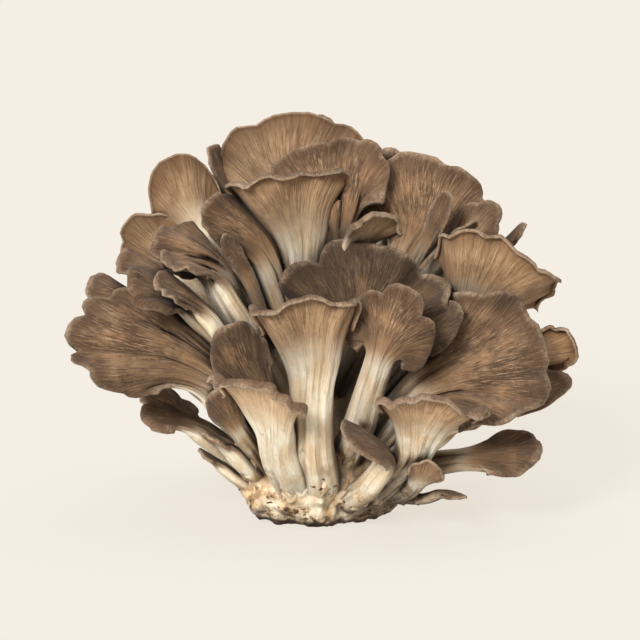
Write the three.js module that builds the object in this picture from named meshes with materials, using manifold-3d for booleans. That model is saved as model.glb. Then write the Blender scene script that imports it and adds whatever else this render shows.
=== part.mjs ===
// A maitake mushroom cluster: one cut butt that rests on the table, and the fronds that grew out of it.
// Each frond is a mushroom of its own, a stem that opens into a thin cap, and is one closed solid.
// Millimetres, +Z up, origin at the middle of the butt's cut face, -Y towards the cluster's front.
import * as THREE from "three";
import { mergeVertices } from "three/addons/utils/BufferGeometryUtils.js";
import Module from "manifold-3d";

const wasm = await Module();
wasm.setup();

// Driving dimensions.
const GAP = 0.35; // clear space where two fronds, or a frond and the butt, press together
const CAP_THICKNESS = 3.2; // a cap's flesh, away from its stem
const STEM_DEPTH = 0.8; // a stem's thickness as a share of its width
const STEM_SHARE = 0.4; // share of a frond's rows that its stem takes
const MARGIN_THINNING = 0.55; // a cap's thickness at its margin, as a share of its flesh
const BLUNTNESS = 0.75; // 1 gives a cap an elliptical outline, less a squarer one
const FLARE = 0.4; // how far below the throat a cap starts to open, as a share of the cap's length

// The butt: a low, lumpy knob, cut flat below.
const BUTT = {
  width: 36, // half, across the front
  depth: 33, // half, front to back
  foot: 0.66, // the cut face's half-width as a share of the butt's
  height: 84, // with the fused trunk that the upper stems leave
  belly: 15, // height of its widest ring
  lumps: 0.06, // how far its outline strays from an ellipse
};

// line: the frond's midrib, from its root in the butt through its throat, the last point but one, to its margin.
// face: the way the cap's brown upper face looks. stem: half-widths at the root and at the throat.
// width: the cap's half-width. spread: degrees that the cap's fibres fan out to each side.
// cup: degrees that the cap's sides turn towards its upper face, or away from it if negative.
// lip: how far the margin rolls down. lobes: [count, depth]. wave: [count, height, phase].
// bell: how late, from 0 to 1, a trumpet-shaped cap flares; 0 if it's left out.
const CENTRE_FRONDS = [
  {
    name: "centre_funnel",
    line: [[0, -20, 10], [-3, -38, 36], [-3, -46, 64], [-8, -66, 99]],
    face: [0, 0.6, 0.8], stem: [10, 8], width: 26, spread: 56, cup: 48,
    lip: 3, lobes: [3, 0.08], wave: [2, 2.4, 2.0], bell: 0.45,
  },
  {
    name: "centre_ledge",
    line: [[-8, -20, 12], [-15, -38, 32], [-18, -48, 46], [-26, -68, 69]],
    face: [0.3, 0.3, 0.9], stem: [9, 8], width: 27, spread: 58, cup: 12,
    lip: 3, lobes: [3, 0.08], wave: [2, 2, 2.4], bell: 0.45,
  },
  {
    name: "centre_trefoil",
    line: [[8, -18, 22], [16, -40, 48], [25, -53, 80], [33, -58, 102]],
    face: [-0.1, -0.95, 0.3], stem: [7, 5.5], width: 17.5, spread: 125, cup: -14,
    lip: 2, lobes: [3, 0.24], wave: [2, 1.5, 0],
  },
  {
    name: "centre_wave_cap",
    line: [[3, -6, 48], [10, -20, 66], [16, -28, 82], [21, -27, 115]],
    face: [0, -0.9, 0.45], stem: [7, 9], width: 36, spread: 96, cup: 18,
    lip: 2.5, lobes: [3, 0.2], wave: [3, 4, 0.4],
  },
  {
    name: "centre_left_cap",
    line: [[-10, -16, 26], [-19, -31, 46], [-25, -40, 61], [-36, -46, 86]],
    face: [-0.1, -0.8, 0.6], stem: [6, 6], width: 13, spread: 85, cup: -12,
    lip: 2, lobes: [2, 0.08], wave: [2, 1.5, 1],
  },
  {
    name: "centre_right_lobe",
    line: [[10, -12, 36], [26, -28, 58], [38, -36, 76], [54, -42, 92]],
    face: [0.1, -0.8, 0.6], stem: [4, 4], width: 9, spread: 90, cup: 10,
    lip: 1, lobes: [2, 0.06], wave: [1, 1, 0],
  },
];

const RIGHT_FRONDS = [
  {
    name: "right_big_fan",
    line: [[16, -14, 20], [30, -28, 44], [48, -36, 63], [87, -38, 79]],
    face: [0.1, -0.9, 0.4], stem: [9, 10], width: 30, spread: 98, cup: 30,
    lip: 2.5, lobes: [5, 0.07], wave: [3, 2.4, 0.6],
  },
  {
    name: "right_apron",
    line: [[18, -16, 12], [33, -36, 30], [38, -48, 43], [44, -70, 62]],
    face: [0.1, 0.3, 0.95], stem: [9, 8], width: 26, spread: 62, cup: 10,
    lip: 2, lobes: [3, 0.1], wave: [2, 2.2, 1], bell: 0.4,
  },
  {
    name: "right_low_cap",
    line: [[10, -22, 10], [20, -38, 22], [25, -50, 36], [9, -62, 48]],
    face: [0.1, -0.45, 0.88], stem: [6, 5], width: 11, spread: 90, cup: -25,
    lip: 1.5, lobes: [2, 0.05], wave: [1, 1, 0],
  },
  {
    name: "right_low_lip",
    line: [[22, -10, 8], [35, -28, 16], [39, -40, 24], [44, -54, 34]],
    face: [0.3, 0.1, 0.95], stem: [5, 4], width: 8, spread: 80, cup: -20,
    lip: 1.5, lobes: [2, 0.1], wave: [1, 1, 0],
  },
  {
    name: "right_finger",
    line: [[26, -4, 8], [40, -24, 11], [48, -34, 16], [56, -44, 17]],
    face: [0.1, -0.2, 1], stem: [3, 2.5], width: 3.5, spread: 80, cup: -20,
    lip: 0.5, lobes: [1, 0], wave: [1, 0.3, 0],
  },
  {
    name: "right_low_fan",
    line: [[20, -6, 14], [42, -20, 24], [64, -28, 29], [87, -34, 34]],
    face: [0, -0.7, 0.7], stem: [6, 5], width: 13, spread: 95, cup: 8,
    lip: 1.5, lobes: [3, 0.06], wave: [2, 1, 0],
  },
  {
    name: "right_edge_petal",
    line: [[18, 2, 20], [46, 0, 34], [74, -4, 46], [100, -8, 56]],
    face: [0.1, -0.7, 0.7], stem: [5, 4], width: 10, spread: 85, cup: 8,
    lip: 1.5, lobes: [2, 0.05], wave: [1, 1, 0],
  },
  {
    name: "right_trumpet",
    line: [[14, 6, 34], [46, 6, 50], [76, 2, 61], [103, -2, 71]],
    face: [0, 0.9, 0.3], stem: [5, 4], width: 12, spread: 60, cup: 30,
    lip: 2, lobes: [2, 0.1], wave: [1, 1.5, 0], bell: 0.5,
  },
  {
    name: "right_funnel",
    line: [[12, -2, 44], [36, -12, 64], [56, -18, 82], [77, -34, 113]],
    face: [0.3, 0.55, 0.75], stem: [7, 8], width: 33, spread: 64, cup: 40,
    lip: 3, lobes: [4, 0.06], wave: [2, 2.2, 0.4], bell: 0.35,
  },
  {
    name: "right_back_fan",
    line: [[6, 4, 60], [24, 8, 86], [37, 10, 112], [42, 16, 144]],
    face: [0, -0.9, 0.4], stem: [6, 7], width: 30, spread: 98, cup: 20,
    lip: 2, lobes: [5, 0.08], wave: [3, 2, 0],
  },
  {
    name: "right_tongue",
    line: [[8, -2, 58], [28, -2, 84], [43, -4, 112], [51, -6, 131]],
    face: [-0.5, -0.8, 0.3], stem: [3, 3], width: 5.5, spread: 85, cup: 20,
    lip: 0.5, lobes: [1, 0], wave: [1, 0.5, 0],
  },
  {
    name: "right_upper_petal",
    line: [[8, 6, 52], [34, 6, 80], [52, 4, 104], [71, 0, 126]],
    face: [0, -0.6, 0.8], stem: [4, 4], width: 13, spread: 85, cup: -10,
    lip: 1.5, lobes: [2, 0.08], wave: [2, 1.2, 0],
  },
  {
    name: "right_upper_ledge",
    line: [[8, -4, 54], [30, -8, 80], [44, -10, 104], [60, -18, 122]],
    face: [0, 0, 1], stem: [4, 4], width: 9, spread: 80, cup: -15,
    lip: 1, lobes: [2, 0.1], wave: [1, 1, 0],
  },
  {
    name: "right_upper_finger",
    line: [[10, 8, 48], [44, 10, 78], [68, 10, 102], [83, 8, 118]],
    face: [-0.3, -0.4, 0.9], stem: [3, 3], width: 4.5, spread: 80, cup: -20,
    lip: 0.5, lobes: [1, 0], wave: [1, 0.5, 0],
  },
];

const TOP_FRONDS = [
  {
    name: "top_funnel",
    line: [[-2, -4, 66], [-5, -8, 86], [-8, -13, 108], [-15, -33, 142]],
    face: [0, 0.6, 0.8], stem: [8, 8], width: 31, spread: 58, cup: 52,
    lip: 3, lobes: [3, 0.06], wave: [2, 2.2, 2.2], bell: 0.5,
  },
  {
    name: "top_crown",
    line: [[2, 2, 72], [4, 4, 96], [4, 6, 122], [-5, 14, 148]],
    face: [0.05, -0.85, 0.5], stem: [6, 8], width: 30, spread: 92, cup: 24,
    lip: 3, lobes: [7, 0.07], wave: [4, 2.2, 1],
  },
  {
    name: "top_spoon",
    line: [[4, -8, 62], [9, -15, 86], [13, -19, 110], [26, -33, 126]],
    face: [-0.1, 0.4, 0.9], stem: [5, 5], width: 14, spread: 60, cup: -8,
    lip: 2.5, lobes: [2, 0.1], wave: [1, 1.2, 1.6], bell: 0.4,
  },
  {
    name: "top_back_fan",
    line: [[-2, 6, 70], [-5, 14, 98], [-10, 18, 120], [-12, 28, 160]],
    face: [0, 0.9, 0.45], stem: [7, 8], width: 36, spread: 96, cup: 24,
    lip: 3, lobes: [4, 0.06], wave: [4, 1.6, 0], bell: 0.2,
  },
  {
    name: "top_back_bud",
    line: [[2, 10, 66], [3, 24, 100], [1, 36, 142], [-1, 38, 158]],
    face: [0, -0.8, 0.6], stem: [4, 4], width: 8, spread: 85, cup: -15,
    lip: 1, lobes: [2, 0.05], wave: [1, 0.5, 0],
  },
  {
    name: "top_right_bud",
    line: [[4, 6, 70], [18, 12, 98], [26, 16, 124], [28, 18, 147]],
    face: [-0.2, -0.85, 0.5], stem: [4, 4], width: 8, spread: 85, cup: -15,
    lip: 1.2, lobes: [2, 0.05], wave: [1, 0.6, 0],
  },
];

const LEFT_FRONDS = [
  {
    name: "left_big_fan",
    line: [[-14, -14, 20], [-34, -26, 48], [-51, -34, 68], [-97, -38, 84]],
    face: [0.15, -0.9, 0.45], stem: [8, 8], width: 23, spread: 84, cup: 18,
    lip: 2.5, lobes: [6, 0.1], wave: [3, 2, 0],
  },
  {
    name: "left_back_round",
    line: [[-6, 4, 62], [-26, 8, 88], [-48, 10, 116], [-61, 8, 144]],
    face: [-0.1, 0.95, 0.3], stem: [5, 6], width: 15, spread: 100, cup: 20,
    lip: 2, lobes: [3, 0.04], wave: [2, 1.2, 0],
  },
  {
    name: "left_back_leaf",
    line: [[-4, 14, 66], [-18, 24, 98], [-34, 27, 124], [-44, 29, 147]],
    face: [0.75, -0.3, 0.5], stem: [3, 4], width: 9, spread: 90, cup: 8,
    lip: 1, lobes: [2, 0.05], wave: [1, 1, 0],
  },
  {
    name: "left_back_lower",
    line: [[-10, 4, 46], [-34, 10, 76], [-58, 14, 100], [-79, 12, 118]],
    face: [-0.3, 0.8, 0.6], stem: [5, 6], width: 15, spread: 92, cup: 14,
    lip: 2, lobes: [3, 0.05], wave: [2, 1.2, 0],
  },
  {
    name: "left_hood",
    line: [[-6, -6, 60], [-16, -14, 88], [-24, -18, 112], [-45, -26, 130]],
    face: [-0.1, -0.8, 0.6], stem: [5, 6], width: 12, spread: 88, cup: -14,
    lip: 2, lobes: [3, 0.07], wave: [2, 1.5, 0],
  },
  {
    name: "left_finger",
    line: [[-8, -8, 58], [-22, -22, 86], [-29, -26, 102], [-38, -30, 117]],
    face: [-0.2, -0.7, 0.7], stem: [3, 2.5], width: 4, spread: 80, cup: -20,
    lip: 0.5, lobes: [1, 0], wave: [1, 0.5, 0],
  },
  {
    name: "left_pair_upper",
    line: [[-10, -6, 50], [-32, -15, 84], [-43, -18, 105], [-65, -20, 116]],
    face: [0, -0.55, 0.85], stem: [6, 6], width: 15, spread: 88, cup: -12,
    lip: 2.5, lobes: [3, 0.08], wave: [3, 2, 1],
  },
  {
    name: "left_pair_lower",
    line: [[-14, -12, 44], [-31, -25, 80], [-43, -29, 101], [-60, -38, 111]],
    face: [0.1, 0, 1], stem: [7, 6], width: 13, spread: 80, cup: -20,
    lip: 2.5, lobes: [3, 0.1], wave: [2, 2, 0],
  },
  {
    name: "left_petal_middle",
    line: [[-12, -14, 36], [-35, -36, 74], [-47, -40, 92], [-62, -46, 104]],
    face: [0, -0.4, 0.9], stem: [4, 4], width: 11, spread: 80, cup: -15,
    lip: 1, lobes: [3, 0.08], wave: [2, 1.6, 0],
  },
  {
    name: "left_petal_back",
    line: [[-14, -4, 40], [-42, -12, 78], [-61, -14, 98], [-79, -16, 107]],
    face: [0, -0.4, 0.9], stem: [4, 4], width: 12, spread: 85, cup: -12,
    lip: 1.5, lobes: [2, 0.06], wave: [2, 1.6, 0],
  },
  {
    name: "left_petal_front",
    line: [[-14, -12, 34], [-38, -24, 72], [-54, -31, 91], [-74, -44, 104]],
    face: [0.1, -0.55, 0.85], stem: [5, 5], width: 14, spread: 85, cup: 14,
    lip: 2, lobes: [3, 0.06], wave: [2, 2, 1],
  },
  {
    name: "left_petal_outer",
    line: [[-16, -8, 30], [-50, -14, 68], [-73, -20, 88], [-91, -24, 99]],
    face: [0, -0.4, 0.9], stem: [4, 4], width: 10, spread: 85, cup: -10,
    lip: 1.5, lobes: [2, 0.06], wave: [1, 1, 0],
  },
  {
    name: "left_low_round",
    line: [[-16, -16, 16], [-28, -32, 36], [-34, -38, 47], [-41, -42, 59]],
    face: [-0.2, -0.8, 0.5], stem: [4, 4], width: 8, spread: 90, cup: -10,
    lip: 0.5, lobes: [1, 0], wave: [1, 0.5, 0],
  },
  {
    name: "left_low_bar",
    line: [[-18, -14, 12], [-29, -27, 25], [-37, -34, 35], [-45, -40, 41]],
    face: [0, 0, 1], stem: [4, 4], width: 6, spread: 80, cup: -20,
    lip: 1, lobes: [1, 0], wave: [1, 0.5, 0],
  },
  {
    name: "left_low_petal",
    line: [[-18, -10, 8], [-28, -20, 16], [-40, -27, 27], [-47, -31, 32]],
    face: [0, -0.2, 1], stem: [4, 3], width: 5.5, spread: 80, cup: -15,
    lip: 0.5, lobes: [1, 0], wave: [1, 0.5, 0],
  },
  {
    name: "left_low_trumpet",
    line: [[-16, -6, 14], [-36, -14, 28], [-54, -18, 40], [-71, -20, 47]],
    face: [-0.1, -0.35, 0.9], stem: [4, 4], width: 9, spread: 80, cup: 25,
    lip: 1, lobes: [2, 0.1], wave: [1, 1, 0],
  },
];

const BACK_FRONDS = [
  {
    name: "back_centre_fan",
    line: [[0, 8, 56], [2, 26, 78], [2, 38, 98], [4, 56, 128]],
    face: [0, -0.6, 0.8], stem: [7, 8], width: 24, spread: 85, cup: 24,
    lip: 3, lobes: [4, 0.08], wave: [3, 2.5, 0],
  },
  {
    name: "back_left_fan",
    line: [[-10, 8, 40], [-32, 26, 60], [-50, 36, 78], [-74, 48, 100]],
    face: [0.3, -0.5, 0.8], stem: [7, 7], width: 21, spread: 85, cup: 26,
    lip: 2.5, lobes: [4, 0.08], wave: [2, 2, 1],
  },
  {
    name: "back_right_fan",
    line: [[10, 8, 40], [32, 26, 62], [48, 36, 82], [70, 48, 106]],
    face: [-0.3, -0.5, 0.8], stem: [7, 7], width: 22, spread: 85, cup: 26,
    lip: 2.5, lobes: [4, 0.08], wave: [3, 2, 2],
  },
  {
    name: "back_low_left",
    line: [[-14, 14, 16], [-32, 36, 32], [-44, 48, 42], [-62, 66, 60]],
    face: [-0.2, 0.7, 0.7], stem: [8, 8], width: 22, spread: 88, cup: -10,
    lip: 2.5, lobes: [4, 0.08], wave: [3, 2, 0],
  },
  {
    name: "back_low_centre",
    line: [[0, 18, 14], [-2, 44, 30], [-4, 58, 44], [-6, 78, 66]],
    face: [0, 0.7, 0.7], stem: [9, 8], width: 23, spread: 88, cup: -10,
    lip: 2.5, lobes: [5, 0.07], wave: [3, 2, 1],
  },
  {
    name: "back_low_right",
    line: [[14, 14, 16], [32, 34, 32], [46, 46, 44], [66, 62, 64]],
    face: [0.2, 0.7, 0.7], stem: [8, 8], width: 22, spread: 88, cup: -10,
    lip: 2.5, lobes: [4, 0.08], wave: [2, 2, 0],
  },
  {
    name: "back_mid_left",
    line: [[-6, 12, 36], [-18, 36, 60], [-26, 48, 76], [-38, 66, 98]],
    face: [-0.2, 0.8, 0.5], stem: [6, 7], width: 19, spread: 90, cup: -8,
    lip: 2, lobes: [3, 0.08], wave: [2, 2, 0],
  },
  {
    name: "back_mid_right",
    line: [[6, 12, 36], [18, 36, 60], [24, 48, 78], [34, 66, 100]],
    face: [0.2, 0.8, 0.5], stem: [6, 7], width: 19, spread: 90, cup: -8,
    lip: 2, lobes: [4, 0.08], wave: [3, 2, 1],
  },
  {
    name: "side_left_middle",
    line: [[-16, 4, 24], [-42, 12, 44], [-62, 16, 60], [-86, 20, 78]],
    face: [-0.1, 0.3, 0.95], stem: [7, 6], width: 17, spread: 85, cup: -12,
    lip: 2, lobes: [3, 0.08], wave: [2, 1.5, 0],
  },
  {
    name: "side_right_middle",
    line: [[14, 8, 28], [42, 20, 48], [62, 26, 62], [86, 34, 82]],
    face: [0.1, 0.4, 0.9], stem: [7, 6], width: 18, spread: 85, cup: -12,
    lip: 2, lobes: [3, 0.08], wave: [2, 1.5, 1],
  },
  {
    name: "back_upper_left",
    line: [[-4, 8, 62], [-18, 24, 90], [-28, 32, 112], [-38, 44, 138]],
    face: [0.3, -0.6, 0.75], stem: [5, 6], width: 16, spread: 88, cup: 12,
    lip: 2, lobes: [3, 0.08], wave: [2, 1.5, 0],
  },
  {
    name: "back_upper_right",
    line: [[6, 8, 60], [20, 24, 86], [30, 32, 108], [40, 46, 134]],
    face: [-0.3, -0.6, 0.75], stem: [5, 6], width: 17, spread: 88, cup: 12,
    lip: 2, lobes: [3, 0.08], wave: [2, 1.5, 2],
  },
  {
    name: "side_left_high",
    line: [[-8, 6, 54], [-30, 20, 82], [-42, 27, 100], [-60, 36, 124]],
    face: [-0.6, 0.2, 0.75], stem: [5, 5], width: 17, spread: 88, cup: -14,
    lip: 2, lobes: [3, 0.08], wave: [2, 1.5, 0],
  },
  {
    name: "side_right_high",
    line: [[8, 8, 50], [32, 24, 76], [48, 31, 94], [66, 38, 118]],
    face: [0.6, 0.2, 0.75], stem: [5, 5], width: 17, spread: 88, cup: -14,
    lip: 2, lobes: [3, 0.08], wave: [2, 1.5, 1],
  },
  {
    name: "side_left_low",
    line: [[-20, 6, 12], [-42, 14, 26], [-54, 20, 34], [-72, 28, 50]],
    face: [-0.4, 0.2, 0.9], stem: [6, 6], width: 18, spread: 88, cup: -14,
    lip: 2, lobes: [3, 0.08], wave: [2, 1.5, 1],
  },
  {
    name: "side_right_low",
    line: [[20, 6, 12], [42, 14, 24], [55, 18, 32], [76, 24, 46]],
    face: [0.4, 0.2, 0.9], stem: [6, 6], width: 18, spread: 88, cup: -14,
    lip: 2, lobes: [3, 0.08], wave: [2, 1.5, 0],
  },
];

const fronds = [...CENTRE_FRONDS, ...TOP_FRONDS, ...RIGHT_FRONDS, ...LEFT_FRONDS, ...BACK_FRONDS];

// Growth rule of one frond.

const smooth = (x) => {
  const t = Math.min(1, Math.max(0, x));
  return t * t * (3 - 2 * t);
};
const mix = THREE.MathUtils.lerp;
// Squares off a cap's outline: an ellipse's sine or cosine raised to a power below one.
const blunt = (x) => Math.sign(x) * Math.abs(x) ** BLUNTNESS;

// The midrib as a curve, with its length and the length up to the throat.
function midribOf(frond) {
  const points = frond.line.map((p) => new THREE.Vector3(...p));
  const curve = new THREE.CatmullRomCurve3(points, false, "catmullrom", 0.5);
  curve.arcLengthDivisions = 120;
  const lengths = curve.getLengths();
  const throatStep = Math.round((120 * (points.length - 2)) / (points.length - 1));
  const last = points.length - 1;
  const heading = points[last].clone().sub(points[last - 1]);
  const across = heading.cross(new THREE.Vector3(...frond.face)).normalize();
  return { curve, length: lengths[120], throat: lengths[throatStep], across };
}

// A point of the frond as if pressed flat: x along the midrib, y across it.
function flatPoint(frond, midrib, u, v, grow) {
  const capLength = midrib.length - midrib.throat;
  const opening = Math.max(0.4 * midrib.throat, midrib.throat - FLARE * capLength);
  const [rootWidth, throatWidth] = frond.stem;
  if (u <= STEM_SHARE) {
    const k = u / STEM_SHARE;
    return [opening * k, v * (mix(rootWidth, throatWidth, k) + grow)];
  }
  const t = (u - STEM_SHARE) / (1 - STEM_SHARE);
  const half = THREE.MathUtils.degToRad(frond.spread);
  const angle = v * half;
  const [count, depth] = frond.lobes;
  const lobe = 1 - depth * (1 - Math.abs(Math.cos((Math.PI * count * v) / 2)));
  const full = blunt(Math.sin(Math.min(half, Math.PI / 2)));
  const endX = midrib.throat + (capLength * lobe + grow) * blunt(Math.cos(angle));
  const endY = ((frond.width * lobe + grow) * blunt(Math.sin(angle))) / full;
  const side = v * (throatWidth + grow);
  const [a, b, c] = [(1 - t) * (1 - t), 2 * t * (1 - t), t * t];
  const flare = midrib.throat + (frond.bell ?? 0) * capLength;
  return [a * opening + b * flare + c * endX, a * side + b * side * 1.15 + c * endY];
}

// The same point with the midrib bent, the sides cupped and the margin rolled and waved.
function sheetPoint(frond, midrib, u, v, grow) {
  const [x, y] = flatPoint(frond, midrib, u, v, grow);
  const t = Math.max(0, (u - STEM_SHARE) / (1 - STEM_SHARE));
  const on = Math.min(Math.max(x, 0), midrib.length) / midrib.length;
  const tangent = midrib.curve.getTangentAt(on);
  const point = midrib.curve.getPointAt(on).addScaledVector(tangent, x - on * midrib.length);
  const side = midrib.across.clone();
  side.addScaledVector(tangent, -side.dot(tangent)).normalize();
  const up = side.clone().cross(tangent);
  const bend = THREE.MathUtils.degToRad(frond.cup || 1) / frond.width;
  const [count, height, phase] = frond.wave;
  const roll = frond.lip * Math.max(0, (t - 0.7) / 0.3) ** 2;
  const lift = height * t * t * Math.sin(Math.PI * count * v + phase) - roll;
  point.addScaledVector(side, Math.sin(bend * y) / bend - lift * Math.sin(bend * y));
  point.addScaledVector(up, (1 - Math.cos(bend * y)) / bend + lift * Math.cos(bend * y));
  return point;
}

// The closed solid's geometry: the sheet's two faces, a rim round the cap and an end at the root.
function frondGeometry(frond, grow = 0) {
  const rows = frond.width > 9 ? 6 : 5;
  const columns = frond.width > 20 ? 8 : frond.width > 9 ? 6 : 4;
  const midrib = midribOf(frond);
  const at = (i, j) => sheetPoint(frond, midrib, i / rows, (2 * j) / columns - 1, grow);
  const sheet = [];
  for (let i = 0; i <= rows; i++) {
    sheet.push(Array.from({ length: columns + 1 }, (_, j) => at(i, j)));
  }
  const positions = [];
  for (const sign of [1, -1]) {
    for (let i = 0; i <= rows; i++) {
      for (let j = 0; j <= columns; j++) {
        const along = sheet[Math.min(i + 1, rows)][j].clone().sub(sheet[Math.max(i - 1, 0)][j]);
        const over = sheet[i][Math.min(j + 1, columns)].clone().sub(sheet[i][Math.max(j - 1, 0)]);
        const normal = over.cross(along).normalize();
        const thick = halfThickness(frond, i / rows, (2 * j) / columns - 1) + grow;
        const p = sheet[i][j].clone().addScaledVector(normal, sign * thick);
        positions.push(p.x, p.y, p.z);
      }
    }
  }
  const index = [];
  const wide = columns + 1;
  const back = (rows + 1) * wide;
  const quad = (a, b, c, d) => index.push(a, b, c, a, c, d);
  for (let i = 0; i < rows; i++) {
    for (let j = 0; j < columns; j++) {
      const a = i * wide + j;
      quad(a, a + 1, a + wide + 1, a + wide);
      quad(back + a, back + a + wide, back + a + wide + 1, back + a + 1);
    }
    const left = i * wide;
    const right = left + columns;
    quad(left, left + wide, back + left + wide, back + left);
    quad(right + wide, right, back + right, back + right + wide);
  }
  for (let j = 0; j < columns; j++) {
    const end = rows * wide + j;
    quad(j + 1, j, back + j, back + j + 1);
    quad(end, end + 1, back + end + 1, back + end);
  }
  return meshGeometry(positions, index);
}

function halfThickness(frond, u, v) {
  const t = (u - STEM_SHARE) / (1 - STEM_SHARE);
  const stem = STEM_DEPTH * mix(frond.stem[0], frond.stem[1], Math.min(1, u / STEM_SHARE));
  const opened = smooth(t / 0.7);
  const edge = mix(0.35, 0.75, opened);
  const across = edge + (1 - edge) * Math.sqrt(1 - v * v);
  const thinned = mix(1, MARGIN_THINNING, smooth((t - 0.6) / 0.4));
  return mix(stem, Math.min(stem, CAP_THICKNESS / 2), opened) * across * thinned;
}

function meshGeometry(positions, index) {
  const geometry = new THREE.BufferGeometry();
  geometry.setAttribute("position", new THREE.Float32BufferAttribute(positions, 3));
  geometry.setIndex(index);
  return geometry;
}

// The butt's rings, from the cut face up to its crown.
function buttGeometry(grow = 0) {
  const around = 28;
  const rings = [
    [0, BUTT.foot], [3, 0.84], [BUTT.belly, 1], [26, 0.93],
    [38, 0.72], [54, 0.5], [70, 0.34], [BUTT.height, 0.16],
  ];
  const positions = [];
  for (const [height, share] of rings) {
    for (let k = 0; k < around; k++) {
      const a = (2 * Math.PI * k) / around;
      const lump = 1 + BUTT.lumps * (Math.sin(3 * a + 1 + height / 9) + 0.6 * Math.sin(7 * a));
      const x = (BUTT.width * share * lump + grow) * Math.cos(a);
      const y = (BUTT.depth * share * lump + grow) * Math.sin(a);
      positions.push(x, y, height + (height === BUTT.height ? grow : 0));
    }
  }
  const index = [];
  for (let i = 0; i + 1 < rings.length; i++) {
    for (let k = 0; k < around; k++) {
      const next = (k + 1) % around;
      const [a, b] = [i * around + k, i * around + next];
      index.push(a, b, b + around, a, b + around, a + around);
    }
  }
  const top = (rings.length - 1) * around;
  for (let k = 1; k + 1 < around; k++) {
    index.push(0, k + 1, k, top, top + k, top + k + 1);
  }
  return meshGeometry(positions, index);
}

// Solids: each frond gives way to the butt and to the fronds before it.

function solidOf(geometry) {
  const merged = mergeVertices(geometry, 1e-4);
  const vertProperties = merged.attributes.position.array;
  const triVerts = new Uint32Array(merged.index.array);
  return new wasm.Manifold(new wasm.Mesh({ numProp: 3, vertProperties, triVerts }));
}

function geometryOf(solid) {
  const { vertProperties, triVerts } = solid.getMesh();
  return meshGeometry(vertProperties, Array.from(triVerts));
}

const largest = (solid) => solid.decompose().sort((a, b) => b.volume() - a.volume())[0];

const FLESH = new THREE.MeshStandardMaterial({ color: 0xd9c7a6, roughness: 0.8, metalness: 0 });
const SKIN = new THREE.MeshStandardMaterial({ color: 0x7d6650, roughness: 0.9, metalness: 0 });

const cluster = new THREE.Group();

function add(name, geometry, material) {
  const mesh = new THREE.Mesh(geometry, material);
  mesh.name = name;
  cluster.add(mesh);
}

add("butt", buttGeometry(), FLESH);
const taken = [solidOf(buttGeometry(GAP))];
for (const frond of fronds) {
  const grown = solidOf(frondGeometry(frond));
  const trimmed = taken.reduce((rest, other) => rest.subtract(other), grown);
  add(frond.name, geometryOf(largest(trimmed)), SKIN);
  taken.push(solidOf(frondGeometry(frond, GAP)).add(grown));
}

export default cluster;
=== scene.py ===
# %% [markdown]
# # A maitake mushroom cluster
#
# Maitake grows as one cluster: a cut butt at the bottom, and dozens of fronds out of it. Every frond is a
# small mushroom of its own, a fleshy stem that opens into a thin, wavy cap. The cap is grey-brown and
# felted above, tan and finely streaked below, and pale along its margin.
#
# Everything here follows one growth rule. A frond is worked out flat first, as if pressed in a book, with
# fibres that run from the root to the margin. Then it is bent along its midrib, cupped, waved and curled.
# Lengths in the tables are millimetres; the finished pieces are in metres.
#
# The first cell loads the frame: plain solids of the same cluster, which fix where every piece stands.

# %% Load the fixed frame
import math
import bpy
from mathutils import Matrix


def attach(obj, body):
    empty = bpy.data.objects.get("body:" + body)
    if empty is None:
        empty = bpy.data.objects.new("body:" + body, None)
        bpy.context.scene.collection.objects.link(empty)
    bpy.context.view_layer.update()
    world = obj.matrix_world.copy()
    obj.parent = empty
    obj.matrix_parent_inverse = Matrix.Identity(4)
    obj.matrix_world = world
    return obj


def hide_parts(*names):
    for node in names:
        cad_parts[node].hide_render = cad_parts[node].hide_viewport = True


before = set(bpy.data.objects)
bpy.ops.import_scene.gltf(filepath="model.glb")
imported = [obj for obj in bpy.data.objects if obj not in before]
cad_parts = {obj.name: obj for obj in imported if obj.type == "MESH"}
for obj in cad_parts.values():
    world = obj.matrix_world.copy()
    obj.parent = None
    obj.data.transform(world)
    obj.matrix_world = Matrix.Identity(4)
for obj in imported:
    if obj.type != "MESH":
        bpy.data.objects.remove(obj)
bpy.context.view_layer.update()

# %% [markdown]
# ## Libraries
#
# The shapes are worked out for thousands of points at a time, so `numpy` does the sums. `noise` from
# Blender's own `mathutils` gives the rough, natural lumps of the butt.

# %% Libraries
from types import SimpleNamespace

import bpy
import numpy as np
from mathutils import Vector, noise

MM = 0.001
print("frame nodes:", len(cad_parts))

# %% [markdown]
# ## Camera
#
# The cluster is as wide as a hand is long. A close, wide lens would swell the nearest caps, so the camera
# is a long lens that stands well back, ten degrees above the floor. From there the floor fills the
# background.

# %% Camera
CAMERA_ELEVATION = math.radians(10)
CAMERA_DISTANCE = 0.960
AIM_HEIGHT = 0.079
LENS = 135
SENSOR_WIDTH = 36

aim = Vector((0.0, 0.0, AIM_HEIGHT))
away = Vector((0.0, -math.cos(CAMERA_ELEVATION), math.sin(CAMERA_ELEVATION)))
camera_data = bpy.data.cameras.new("camera")
camera_data.lens = LENS
camera_data.sensor_width = SENSOR_WIDTH
camera_data.dof.use_dof = False
camera = bpy.data.objects.new("camera", camera_data)
camera.location = aim + away * CAMERA_DISTANCE
camera.rotation_euler = (-away).to_track_quat("-Z", "Y").to_euler()
bpy.context.collection.objects.link(camera)
bpy.context.scene.camera = camera
print("camera:", LENS, "mm lens,", CAMERA_DISTANCE, "m away")

# %% [markdown]
# ## Studio light
#
# Matt flesh shows its form by soft shading, not by highlights. A key light, low in front and to the left,
# models the caps. A very broad light from above fills the hollows, and a weak warm room light opens the
# shadows. Both lamps are suns, which light the floor evenly however far it runs.

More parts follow.
